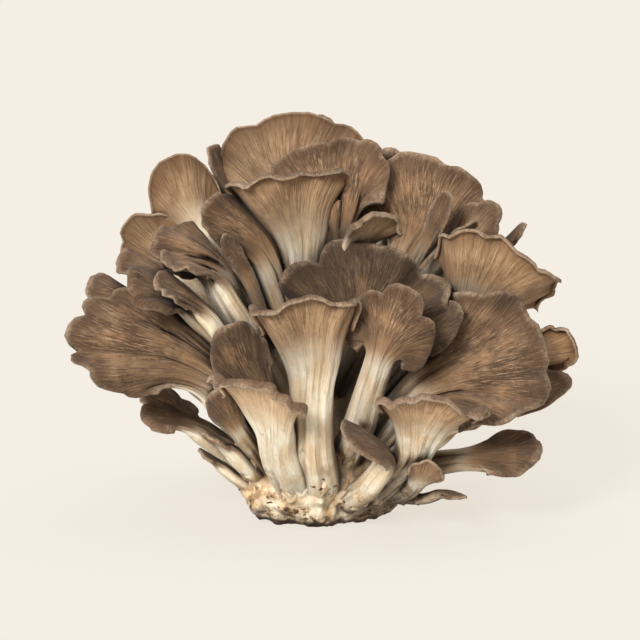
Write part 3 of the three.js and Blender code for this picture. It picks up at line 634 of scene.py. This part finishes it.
def close(piece, place):
    piece.data.vertices.foreach_set("co", (place * MM).ravel())
    bpy.ops.object.mode_set(mode="EDIT")
    bpy.ops.mesh.select_all(action="SELECT")
    bpy.ops.mesh.remove_doubles(threshold=MERGE_DISTANCE)
    bpy.ops.mesh.normals_make_consistent(inside=False)
    bpy.ops.object.mode_set(mode="OBJECT")


# %% [markdown]
# The material has to know where on the frond it is. Each point therefore keeps a few values: on which
# face it lies, its distance to the rim, its share of the cap, and the row's `tone` and `stem_shade`. The UV map
# runs along and across the fibres, in centimetres.

# %% Values for the material
def store(mesh, name, values):
    layer = mesh.attributes.new(name, "FLOAT", "POINT")
    layer.data.foreach_set("value", np.asarray(values, np.float32))


def store_values(mesh, frond, rib, u, v, upper):
    store(mesh, "upper", np.where(np.abs(v) > 0.9999, 0.5, (upper + 1) / 2))
    store(mesh, "margin", reach(frond, rib, u, v))
    store(mesh, "cap", cap_share(u))
    store(mesh, "tone", np.full(len(u), frond["tone"]))
    # The stem's painted shade, from the table.
    store(mesh, "stem_shade", np.full(len(u), frond.get("stem_shade", 0.0)) * smooth((u - 0.1) / 0.2))


def fibre_uv(mesh, along, across, seed):
    corner = np.empty(len(mesh.loops), np.int32)
    mesh.loops.foreach_get("vertex_index", corner)
    uv = np.stack([along[corner] / 10, across[corner] / 10 + 7.3 * seed], -1)
    mesh.uv_layers.active.data.foreach_set("uv", uv.astype(np.float32).ravel())


# %% Frond mesh
GRIDS = [(20, 60, 80), (9, 46, 60), (0, 34, 36)]
STEP = 0.004


def grid_for(width):
    for limit, rows, around in GRIDS:
        if width > limit:
            return rows, around


def outward(frond, rib, u, v):
    ahead = sheet_point(frond, rib, np.clip(u + STEP, 0, 1), v)
    behind = sheet_point(frond, rib, np.clip(u - STEP, 0, 1), v)
    right = sheet_point(frond, rib, u, np.clip(v + STEP, -1, 1))
    left = sheet_point(frond, rib, u, np.clip(v - STEP, -1, 1))
    normal = np.cross(right - left, ahead - behind)
    return normal / np.maximum(np.linalg.norm(normal, axis=1), 1e-9)[:, None]


def frond_mesh(frond):
    rib = Midrib(frond)
    rows, around = grid_for(frond["width"])
    piece, p, q = wrapped_grid(frond["name"] + "_flesh", rows, around)
    u = mix(p, 1 - (1 - p) ** 1.6, 0.55)
    ring, upper = both_faces(q)
    spread = mix(2 * ring - 1, -np.cos(np.pi * ring), 0.6)
    v = np.where(np.abs(q - 0.5) < 1e-6, 1.0, np.clip(spread, -1, 1))
    thick = half_thickness(frond, rib, u, v)
    skin = sheet_point(frond, rib, u, v) + outward(frond, rib, u, v) * (upper * thick)[:, None]
    at_root = (u < 1e-6)[:, None]
    place = np.where(at_root, rib.points[0][None, :], skin)
    store_values(piece.data, frond, rib, u, v, upper)
    along, _ = flat_point(frond, rib, u, v)
    fibre_uv(piece.data, along, v * frond["width"], frond["seed"])
    close(piece, place)
    bpy.ops.object.shade_smooth()
    return piece


print("grids, by half-width:", GRIDS)

# %% [markdown]
# ## Node helpers
#
# Long node trees are hard to read when every node takes five lines. `Tree` wraps a node tree and gives
# the few nodes used here short names. `linear` turns a colour as a screen shows it into the linear light
# that Cycles works with.

# %% Colours
def linear(r, g, b):
    shown = [value / 255 for value in (r, g, b)]
    light = [c / 12.92 if c <= 0.04045 else ((c + 0.055) / 1.055) ** 2.4 for c in shown]
    return (*light, 1)


# %% Node tree
class Tree:
    def __init__(self, tree):
        self.tree = tree

    def add(self, kind, **settings):
        node = self.tree.nodes.new(kind)
        for key, value in settings.items():
            setattr(node, key, value)
        return node

    def put(self, value, socket):
        if isinstance(value, bpy.types.NodeSocket):
            self.tree.links.new(value, socket)
        else:
            socket.default_value = value

    def math(self, operation, a, b=0.0):
        node = self.add("ShaderNodeMath", operation=operation)
        self.put(a, node.inputs[0])
        self.put(b, node.inputs[1])
        return node.outputs[0]

    def ramp(self, value, low, high, start=0.0, end=1.0):
        node = self.add("ShaderNodeMapRange", interpolation_type="SMOOTHSTEP")
        self.put(value, node.inputs["Value"])
        for key, number in (("From Min", low), ("From Max", high), ("To Min", start), ("To Max", end)):
            node.inputs[key].default_value = number
        return node.outputs["Result"]

    def blend(self, factor, a, b, kind="MIX"):
        node = self.add("ShaderNodeMix", data_type="RGBA", blend_type=kind)
        self.put(factor, node.inputs["Factor"])
        self.put(a, node.inputs[6])
        self.put(b, node.inputs[7])
        return node.outputs[2]

    def value(self, name):
        return self.add("ShaderNodeAttribute", attribute_name=name).outputs["Fac"]

    def height(self, space):
        node = self.add("ShaderNodeSeparateXYZ")
        self.put(space, node.inputs[0])
        return node.outputs["Z"]

    def noise(self, vector, scale, detail, rough, stretch=None):
        if stretch:
            mapping = self.add("ShaderNodeMapping")
            self.put(vector, mapping.inputs["Vector"])
            mapping.inputs["Scale"].default_value = stretch
            vector = mapping.outputs["Vector"]
        node = self.add("ShaderNodeTexNoise")
        self.put(vector, node.inputs["Vector"])
        node.inputs["Scale"].default_value = scale
        node.inputs["Detail"].default_value = detail
        node.inputs["Roughness"].default_value = rough
        return node.outputs["Fac"]


def new_material(name):
    material = bpy.data.materials.new(name)
    material.use_nodes = True
    return material, Tree(material.node_tree), material.node_tree.nodes["Principled BSDF"]


def output(group, name, kind="NodeSocketColor"):
    group.interface.new_socket(name, in_out="OUTPUT", socket_type=kind)


# %% [markdown]
# ## Pale flesh
#
# Stems and butt are the same cream flesh, with yellow-brown stains that get stronger near the cut. Both
# materials need it, so it is a node group, built once.

# %% Pale flesh
CREAM = linear(255, 248, 228)
CREAM_SHADE = linear(234, 211, 176)
STAIN = linear(186, 147, 95)
DEEP_STAIN = linear(128, 92, 56)


def pale_flesh_group():
    group = bpy.data.node_groups.new("pale_flesh", "ShaderNodeTree")
    output(group, "Colour")
    output(group, "Height", "NodeSocketFloat")
    t = Tree(group)
    space = t.add("ShaderNodeTexCoord").outputs["Object"]
    soft = t.noise(space, 120, 4, 0.6, (1, 1, 0.4))
    stain = t.noise(space, 62, 4, 0.65, (1, 1, 0.5))
    deep = t.noise(space, 150, 3, 0.6, (1, 1, 0.6))
    low = t.ramp(t.height(space), 0.012, 0.075, 1, 0)
    stained = t.math("MULTIPLY", t.ramp(stain, 0.5, 0.68), t.ramp(low, 0, 1, 0.25, 0.85))
    bruised = t.math("MULTIPLY", t.ramp(deep, 0.6, 0.72), t.ramp(low, 0, 1, 0.1, 0.8))
    colour = t.blend(t.ramp(soft, 0.35, 0.65), CREAM_SHADE, CREAM)
    colour = t.blend(stained, colour, STAIN)
    colour = t.blend(bruised, colour, DEEP_STAIN)
    out = t.add("NodeGroupOutput")
    t.put(colour, out.inputs["Colour"])
    t.put(t.math("ADD", soft, deep), out.inputs["Height"])
    return group


PALE = pale_flesh_group()
print("node group:", PALE.name)

# %% [markdown]
# ## Painted crevice shade
#
# Deep between the fronds and in the creases the colour is darkened: painted shade, on top of the shading
# that the lamps give. Ambient Occlusion nodes measure how closed in a point is: one reaches 4 cm for the
# hollows of the cluster, one 4 mm for creases.

# %% Painted crevice shade
HOLLOW_REACH = 0.04
CREASE_REACH = 0.004
# Painted shade colours: hollows and creases are multiplied towards these.
HOLLOW_SHADE = linear(62, 42, 30)
CREASE_SHADE = linear(158, 132, 110)


def openness(t, distance):
    node = t.add("ShaderNodeAmbientOcclusion", samples=8)
    node.inputs["Distance"].default_value = distance
    return node.outputs["AO"]


def crevice_shade_group():
    group = bpy.data.node_groups.new("painted_crevice_shade", "ShaderNodeTree")
    group.interface.new_socket("Colour", in_out="INPUT", socket_type="NodeSocketColor")
    output(group, "Colour")
    t = Tree(group)
    source = t.add("NodeGroupInput").outputs["Colour"]
    # Painted shade: closed-in points are multiplied darker, first for the hollows, then for the creases.
    dark = t.blend(1.0, source, HOLLOW_SHADE, "MULTIPLY")
    shaded = t.blend(t.ramp(openness(t, HOLLOW_REACH), 0.05, 0.6), dark, source)
    creased = t.blend(1.0, shaded, CREASE_SHADE, "MULTIPLY")
    out = t.add("NodeGroupOutput")
    t.put(t.blend(t.ramp(openness(t, CREASE_REACH), 0.35, 0.95), creased, shaded), out.inputs["Colour"])
    return group


CREVICE_SHADE = crevice_shade_group()
print("node group:", CREVICE_SHADE.name)

# %% [markdown]
# Frond and butt share the rest of their shading too. A little light scatters just below the surface, and
# a bump raises the fibres. The Principled shader itself stays in each material.

# %% Flesh shading
SCATTER = (0.003, 0.0018, 0.001)


def as_flesh(t, shade, colour, relief, bump_strength, bump_depth):
    # The crevice group paints shade into the base colour, darker in the hollows and creases.
    dark = t.add("ShaderNodeGroup", node_tree=CREVICE_SHADE)
    t.put(colour, dark.inputs["Colour"])
    t.put(dark.outputs["Colour"], shade.inputs["Base Color"])
    bump = t.add("ShaderNodeBump")
    bump.inputs["Strength"].default_value = bump_strength
    bump.inputs["Distance"].default_value = bump_depth
    t.put(relief, bump.inputs["Height"])
    t.put(bump.outputs["Normal"], shade.inputs["Normal"])
    shade.inputs["Subsurface Radius"].default_value = SCATTER
    shade.inputs["Subsurface Scale"].default_value = 1.0


# %% [markdown]
# ## Frond material
#
# Both faces of a frond share one material, because on the real thing one runs into the other over the rim
# and down the stem. The streaks are noise stretched along the UV map, so they follow the fibres, and the
# patches and the felt are plain noise. `ragged` is the distance to the rim with an uneven edge, because
# felt and the darker margin never stop at a clean line.

# %% Fibre patterns
RAGGED = 9.0


def frond_patterns(t):
    uv = t.add("ShaderNodeUVMap").outputs["UV"]
    space = t.add("ShaderNodeTexCoord").outputs["Object"]
    margin = t.value("margin")
    patch = t.noise(space, 80, 5, 0.7)
    uneven = t.math("MULTIPLY", t.math("SUBTRACT", patch, 0.5), RAGGED)
    return SimpleNamespace(
        upper=t.value("upper"),
        cap=t.value("cap"),
        tone=t.value("tone"),
        stem_shade=t.value("stem_shade"),
        margin=margin,
        patch=patch,
        ragged=t.math("ADD", margin, uneven),
        fine=t.noise(uv, 1.0, 4, 0.75, (1.8, 26.0, 1)),
        fibre=t.noise(uv, 1.0, 4, 0.7, (0.8, 16.0, 1)),
        streak=t.noise(uv, 1.0, 3, 0.6, (0.3, 2.6, 1)),
        felt=t.noise(space, 850, 4, 0.8),
    )


# %% [markdown]
# The upper face is grey-brown in soft patches, with broad streaks and fine radial fibres, light and dark.
# It is darker towards the margin and tan at the throat.

# %% Brown upper face
BROWN = linear(151, 120, 92)
BROWN_DARK = linear(86, 65, 48)
STREAK_LIGHT = linear(168, 137, 103)
STREAK_DARK = linear(62, 44, 32)
FIBRE_LIGHT = linear(190, 168, 140)
FIBRE_DARK = linear(48, 34, 24)
MARGIN_BROWN = linear(70, 51, 38)
THROAT_TAN = linear(170, 138, 102)


def brown_face(t, p):
    brown = t.blend(t.ramp(p.patch, 0.34, 0.62), BROWN, BROWN_DARK)
    brown = t.blend(t.ramp(p.streak, 0.5, 0.68, 0, 0.35), brown, STREAK_LIGHT)
    brown = t.blend(t.ramp(p.streak, 0.5, 0.34, 0, 0.7), brown, STREAK_DARK)
    brown = t.blend(t.ramp(p.fine, 0.5, 0.66, 0, 0.7), brown, FIBRE_LIGHT)
    brown = t.blend(t.ramp(p.fine, 0.5, 0.34, 0, 0.75), brown, FIBRE_DARK)
    brown = t.blend(t.ramp(p.ragged, 0.0, 12, 0.85, 0), brown, MARGIN_BROWN)
    return t.blend(t.ramp(p.cap, 0.1, 0.6, 0.7, 0), brown, THROAT_TAN)


# %% [markdown]
# The underside is tan, with close lines that run from the throat to the rim. On the lightest fronds it is
# nearly cream.

# %% Tan underside
TAN = linear(194, 167, 136)
TAN_DARK = linear(152, 124, 96)
TAN_STREAK = linear(128, 99, 71)
TAN_FIBRE_LIGHT = linear(222, 203, 176)
TAN_FIBRE_DARK = linear(108, 82, 58)
TAN_LINE = linear(98, 73, 50)
TAN_MARGIN = linear(118, 90, 65)
TAN_PALE = linear(220, 199, 170)


def tan_face(t, p):
    tan = t.blend(t.ramp(p.patch, 0.34, 0.66), TAN, TAN_DARK)
    tan = t.blend(t.ramp(p.streak, 0.5, 0.34, 0, 0.4), tan, TAN_STREAK)
    tan = t.blend(t.ramp(p.fibre, 0.52, 0.66, 0, 0.4), tan, TAN_FIBRE_LIGHT)
    tan = t.blend(t.ramp(p.fibre, 0.5, 0.36, 0, 0.6), tan, TAN_FIBRE_DARK)
    tan = t.blend(t.ramp(p.fine, 0.5, 0.34, 0, 0.6), tan, TAN_LINE)
    tan = t.blend(t.ramp(p.ragged, 0.0, 11, 0.8, 0), tan, TAN_MARGIN)
    return t.blend(t.ramp(p.tone, 0.6, 1.0, 0, 0.75), tan, TAN_PALE)


# %% [markdown]
# The two faces meet at the rim. `tone` makes the whole cap darker or lighter, and only then comes the
# bloom, a pale felt on the upper margin, because it lies on dark and light caps alike.

# %% Whole cap
BLOOM = linear(180, 161, 141)
WARMTH = linear(255, 247, 236)
RIM = linear(190, 172, 150)


def cap_colour(t, p):
    on_top = t.ramp(p.upper, 0.35, 0.65)
    face = t.blend(on_top, tan_face(t, p), brown_face(t, p))
    face = t.blend(1.0, face, t.ramp(p.tone, 0, 1, 0.5, 1.5), "MULTIPLY")
    bloom = t.math("MULTIPLY", t.ramp(p.felt, 0.38, 0.62, 0.35, 1), t.ramp(p.ragged, -1.5, 2.6, 0.85, 0.07))
    face = t.blend(t.math("MULTIPLY", bloom, on_top), face, BLOOM)
    face = t.blend(1.0, face, WARMTH, "MULTIPLY")
    rim = t.math("MULTIPLY", t.ramp(p.margin, 0.2, 0.7, 0.5, 0), t.ramp(p.felt, 0.35, 0.6, 0.3, 1))
    return t.blend(rim, face, RIM)


# %% [markdown]
# Down the stem the cap's colour gives way to cream. It does so along ragged fibres, and further out on
# the underside than on top. `stem_shade` paints shade, in brown, on the stems of fronds deep in the cluster.

# %% Stem and material
CREAM_FIBRE = linear(186, 152, 108)
CREAM_LINE = linear(150, 118, 82)
# The brown of the shade painted on stems deep in the cluster.
STEM_SHADE_BROWN = linear(104, 78, 56)


def stem_colour(t, p):
    pale = t.add("ShaderNodeGroup", node_tree=PALE)
    cream = t.blend(t.ramp(p.fibre, 0.46, 0.3, 0, 0.4), pale.outputs["Colour"], CREAM_FIBRE)
    cream = t.blend(t.ramp(p.fine, 0.46, 0.32, 0, 0.25), cream, CREAM_LINE)
    return t.blend(p.stem_shade, cream, STEM_SHADE_BROWN)


def frond_material():
    material, t, shade = new_material("frond_flesh")
    p = frond_patterns(t)
    out = t.math("ADD", p.cap, t.ramp(p.upper, 0.3, 0.7, -0.2, 0.16))
    uneven = t.math("MULTIPLY", t.math("SUBTRACT", p.fibre, 0.5), 0.35)
    stem_share = t.ramp(t.math("ADD", out, uneven), 0.0, 0.5, 1, 0)
    colour = t.blend(stem_share, cap_colour(t, p), stem_colour(t, p))
    relief = t.math("ADD", t.math("MULTIPLY", p.fibre, 0.6), t.math("MULTIPLY", p.felt, 0.3))
    relief = t.math("ADD", relief, t.math("MULTIPLY", p.streak, 1.6))
    as_flesh(t, shade, colour, relief, 1.0, 0.0012)
    t.put(t.ramp(p.patch, 0.3, 0.7, 0.6, 0.8), shade.inputs["Roughness"])
    shade.inputs["Specular IOR Level"].default_value = 0.22
    shade.inputs["Subsurface Weight"].default_value = 0.06
    shade.inputs["Sheen Weight"].default_value = 0.08
    return material


flesh = frond_material()
print("material:", flesh.name, "with", len(flesh.node_tree.nodes), "nodes")

# %% [markdown]
# ## Grow every frond
#
# Each row of the table becomes one piece, which stands in for the plain solid of the same name.

# %% Grow every frond
triangles = 0
for frond in FRONDS:
    piece = frond_mesh(frond)
    piece.data.materials.append(flesh)
    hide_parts(frond["name"])
    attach(piece, "root")
    triangles += 2 * len(piece.data.polygons)
print("fronds grown:", len(FRONDS), "triangles:", triangles)

# %% [markdown]
# ## The butt
#
# The butt is where all the stems have grown together. It starts as a knob, a lumpy round body that
# narrows to a short trunk, and a stub at the foot of every stem. Sculpting by hand would give the same
# creases, but the stubs put each of them where its stem really is.

# %% Knob
BUTT_WIDTH = 36
BUTT_DEPTH = 33
# Each pair is a height and the share of the full width there.
BUTT_PROFILE = [
    (0, 0.0), (0, 0.66), (3, 0.84), (15, 1.0), (26, 0.93), (38, 0.7), (54, 0.46), (70, 0.3), (82, 0.0),
]


def knob():
    piece, p, q = wrapped_grid("knob", 40, 64)
    heights, shares = np.array(BUTT_PROFILE, float).T
    place = p * (len(heights) - 1)
    z = np.interp(place, range(len(heights)), heights)
    share = np.interp(place, range(len(heights)), shares)
    a = 2 * np.pi * q
    lump = 1 + 0.06 * (np.sin(3 * a + 1 + z / 9) + 0.6 * np.sin(7 * a))
    x = BUTT_WIDTH * share * lump * np.cos(a)
    y = BUTT_DEPTH * share * lump * np.sin(a)
    close(piece, np.stack([x, y, z], -1))
    return piece


# %% Stem stubs
STUB_START = 0.02
STUB_SHARE = 0.33
SWELL_AT_ROOT = 1.14
SWELL_AT_END = 0.72


def stub(frond):
    piece, p, q = wrapped_grid("stub", 14, 20)
    rib = Midrib(frond)
    u = STUB_START + p * STUB_SHARE
    ring, upper = both_faces(q)
    v = -np.cos(np.pi * ring)
    base = sheet_point(frond, rib, u, v)
    centre = sheet_point(frond, rib, u, v * 0)
    ahead = sheet_point(frond, rib, u + 0.01, v) - base
    normal = np.cross(np.broadcast_to(rib.across, ahead.shape), ahead)
    normal /= np.linalg.norm(normal, axis=1)[:, None]
    skin = base + normal * (upper * half_thickness(frond, rib, u, v))[:, None]
    swell = mix(SWELL_AT_ROOT, SWELL_AT_END, p) * np.sqrt(np.clip(1 - (2 * p - 1) ** 24, 0, 1))
    close(piece, centre + (skin - centre) * swell[:, None])
    return piece


parts = [knob()] + [stub(frond) for frond in FRONDS]
print("parts of the butt:", len(parts))

# %% [markdown]
# Boolean unions of sixty bodies are slow and leave hard edges. A voxel Remesh makes one skin of them all,
# and Smooth then fills the creases between the stems, like flesh that has grown together.

# %% Fuse
VOXEL = 0.0011
SOFTEN_TIMES = 7

bpy.ops.object.select_all(action="DESELECT")
for part in parts:
    part.select_set(True)
butt = parts[0]
bpy.context.view_layer.objects.active = butt
bpy.ops.object.join()
butt.name = "butt_flesh"
fuse = butt.modifiers.new("fuse", "REMESH")
fuse.mode = "VOXEL"
fuse.voxel_size = VOXEL
bpy.ops.object.modifier_apply(modifier="fuse")
soften = butt.modifiers.new("soften", "SMOOTH")
soften.factor = 0.5
soften.iterations = SOFTEN_TIMES
bpy.ops.object.modifier_apply(modifier="soften")
bpy.ops.object.shade_smooth()
print("butt faces:", len(butt.data.polygons))

# %% [markdown]
# The skin near the cut is lumpy and torn. Lumps and crags are fractal noise, stretched upwards as the
# fibres run, and they fade out a few centimetres up. No point goes below the floor, so the cut stays
# flat.

# %% Roughen
ROUGH_HEIGHT = 0.055
LUMP_SIZE = 0.0019
CRAG_SIZE = 0.0011

points = [v.co.copy() for v in butt.data.vertices]
normals = [v.normal.copy() for v in butt.data.vertices]
for number, (point, normal) in enumerate(zip(points, normals)):
    low = 1 - min(max(point.z / ROUGH_HEIGHT, 0), 1)
    lumps = noise.fractal(Vector((point.x * 130, point.y * 130, point.z * 60)), 1.0, 2.0, 3)
    crags = noise.fractal(Vector((point.x * 330, point.y * 330, point.z * 170)), 0.8, 2.0, 4)
    points[number] = point + normal * ((LUMP_SIZE * lumps + CRAG_SIZE * crags) * low)
    points[number].z = max(points[number].z, 0)
butt.data.vertices.foreach_set("co", np.array(points).ravel())
butt.data.update()
print("points roughened:", len(points))

# %% [markdown]
# The butt's finish is the pale flesh, worn to yellow-brown and cracked near the cut, with specks of dirt
# in the cracks.

# %% Butt material
WORN = linear(206, 170, 118)
CRACK = linear(116, 78, 42)
DIRT = linear(52, 34, 20)


def butt_material():
    material, t, shade = new_material("butt_flesh")
    space = t.add("ShaderNodeTexCoord").outputs["Object"]
    crack = t.noise(space, 170, 5, 0.7)
    speck = t.noise(space, 420, 3, 0.6)
    low = t.ramp(t.height(space), 0.003, 0.034, 1, 0)
    pale = t.add("ShaderNodeGroup", node_tree=PALE)
    cracked = t.math("MULTIPLY", t.ramp(crack, 0.52, 0.6), t.ramp(low, 0, 1, 0.0, 0.75))
    dirty = t.math("MULTIPLY", t.ramp(speck, 0.56, 0.64), t.math("MULTIPLY", t.ramp(crack, 0.46, 0.56), low))
    colour = t.blend(t.ramp(crack, 0.4, 0.6, 0.15, 0.6), pale.outputs["Colour"], WORN)
    colour = t.blend(cracked, colour, CRACK)
    colour = t.blend(dirty, colour, DIRT)
    as_flesh(t, shade, colour, t.math("ADD", crack, pale.outputs["Height"]), 0.7, 0.0012)
    t.put(t.ramp(crack, 0.3, 0.7, 0.6, 0.85), shade.inputs["Roughness"])
    shade.inputs["Specular IOR Level"].default_value = 0.3
    shade.inputs["Subsurface Weight"].default_value = 0.1
    return material


butt.data.materials.clear()
butt.data.materials.append(butt_material())
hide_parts("butt")
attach(butt, "root")
print("butt finish:", butt.data.materials[0].name)

# %% [markdown]
# ## Soil
#
# Crumbs of the brown growing block still cling to the butt, most of them low down. Each is a small ball,
# pushed out of shape by noise and sunk partly into the flesh. They could be scattered by Geometry Nodes,
# but a loop gives plain meshes, which export as they are.

# %% Soil material
SOIL_DARK = linear(60, 41, 25)
SOIL_LIGHT = linear(136, 98, 60)


def soil_material():
    material, t, shade = new_material("soil")
    grain = t.noise(t.add("ShaderNodeTexCoord").outputs["Object"], 700, 3, 0.7)
    t.put(t.blend(t.ramp(grain, 0.35, 0.7), SOIL_DARK, SOIL_LIGHT), shade.inputs["Base Color"])
    shade.inputs["Roughness"].default_value = 0.95
    return material


# %% Soil crumbs
CRUMBS = 190
CRUMB_START = 5
SMALLEST = 0.0004
SIZE_RANGE = 0.0012

rng = np.random.default_rng(CRUMB_START)
spots = [v for v in butt.data.vertices if 0.001 < v.co.z < 0.026 and noise.noise(v.co * 75) > 0.22]
crumbs = []
for pick in rng.choice(len(spots), CRUMBS, replace=False):
    spot = spots[int(pick)]
    bpy.ops.mesh.primitive_ico_sphere_add(subdivisions=2, radius=1)
    crumb = bpy.context.object
    size = SMALLEST + SIZE_RANGE * rng.random() ** 2.5
    stretch = Vector((0.6 + rng.random(), 0.6 + rng.random(), 0.5 + 0.5 * rng.random()))
    seed = Vector(rng.random(3) * 40)
    for vertex in crumb.data.vertices:
        rough = 1 + 0.7 * noise.noise(vertex.co * 1.7 + seed)
        vertex.co = spot.co - spot.normal * 0.5 * size + vertex.co * stretch * (size * rough)
    crumbs.append(crumb)
print("soil crumbs:", len(crumbs))

# %% [markdown]
# The crumbs become one object, with its origin at the cluster's own.

# %% Join the crumbs
bpy.ops.object.select_all(action="DESELECT")
for crumb in crumbs:
    crumb.select_set(True)
bpy.context.view_layer.objects.active = crumbs[0]
bpy.ops.object.join()
soil = crumbs[0]
soil.name = "butt_soil"
soil.location = (0, 0, 0)
bpy.ops.object.shade_smooth()
soil.data.materials.append(soil_material())
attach(soil, "root")
print("soil faces:", len(soil.data.polygons))
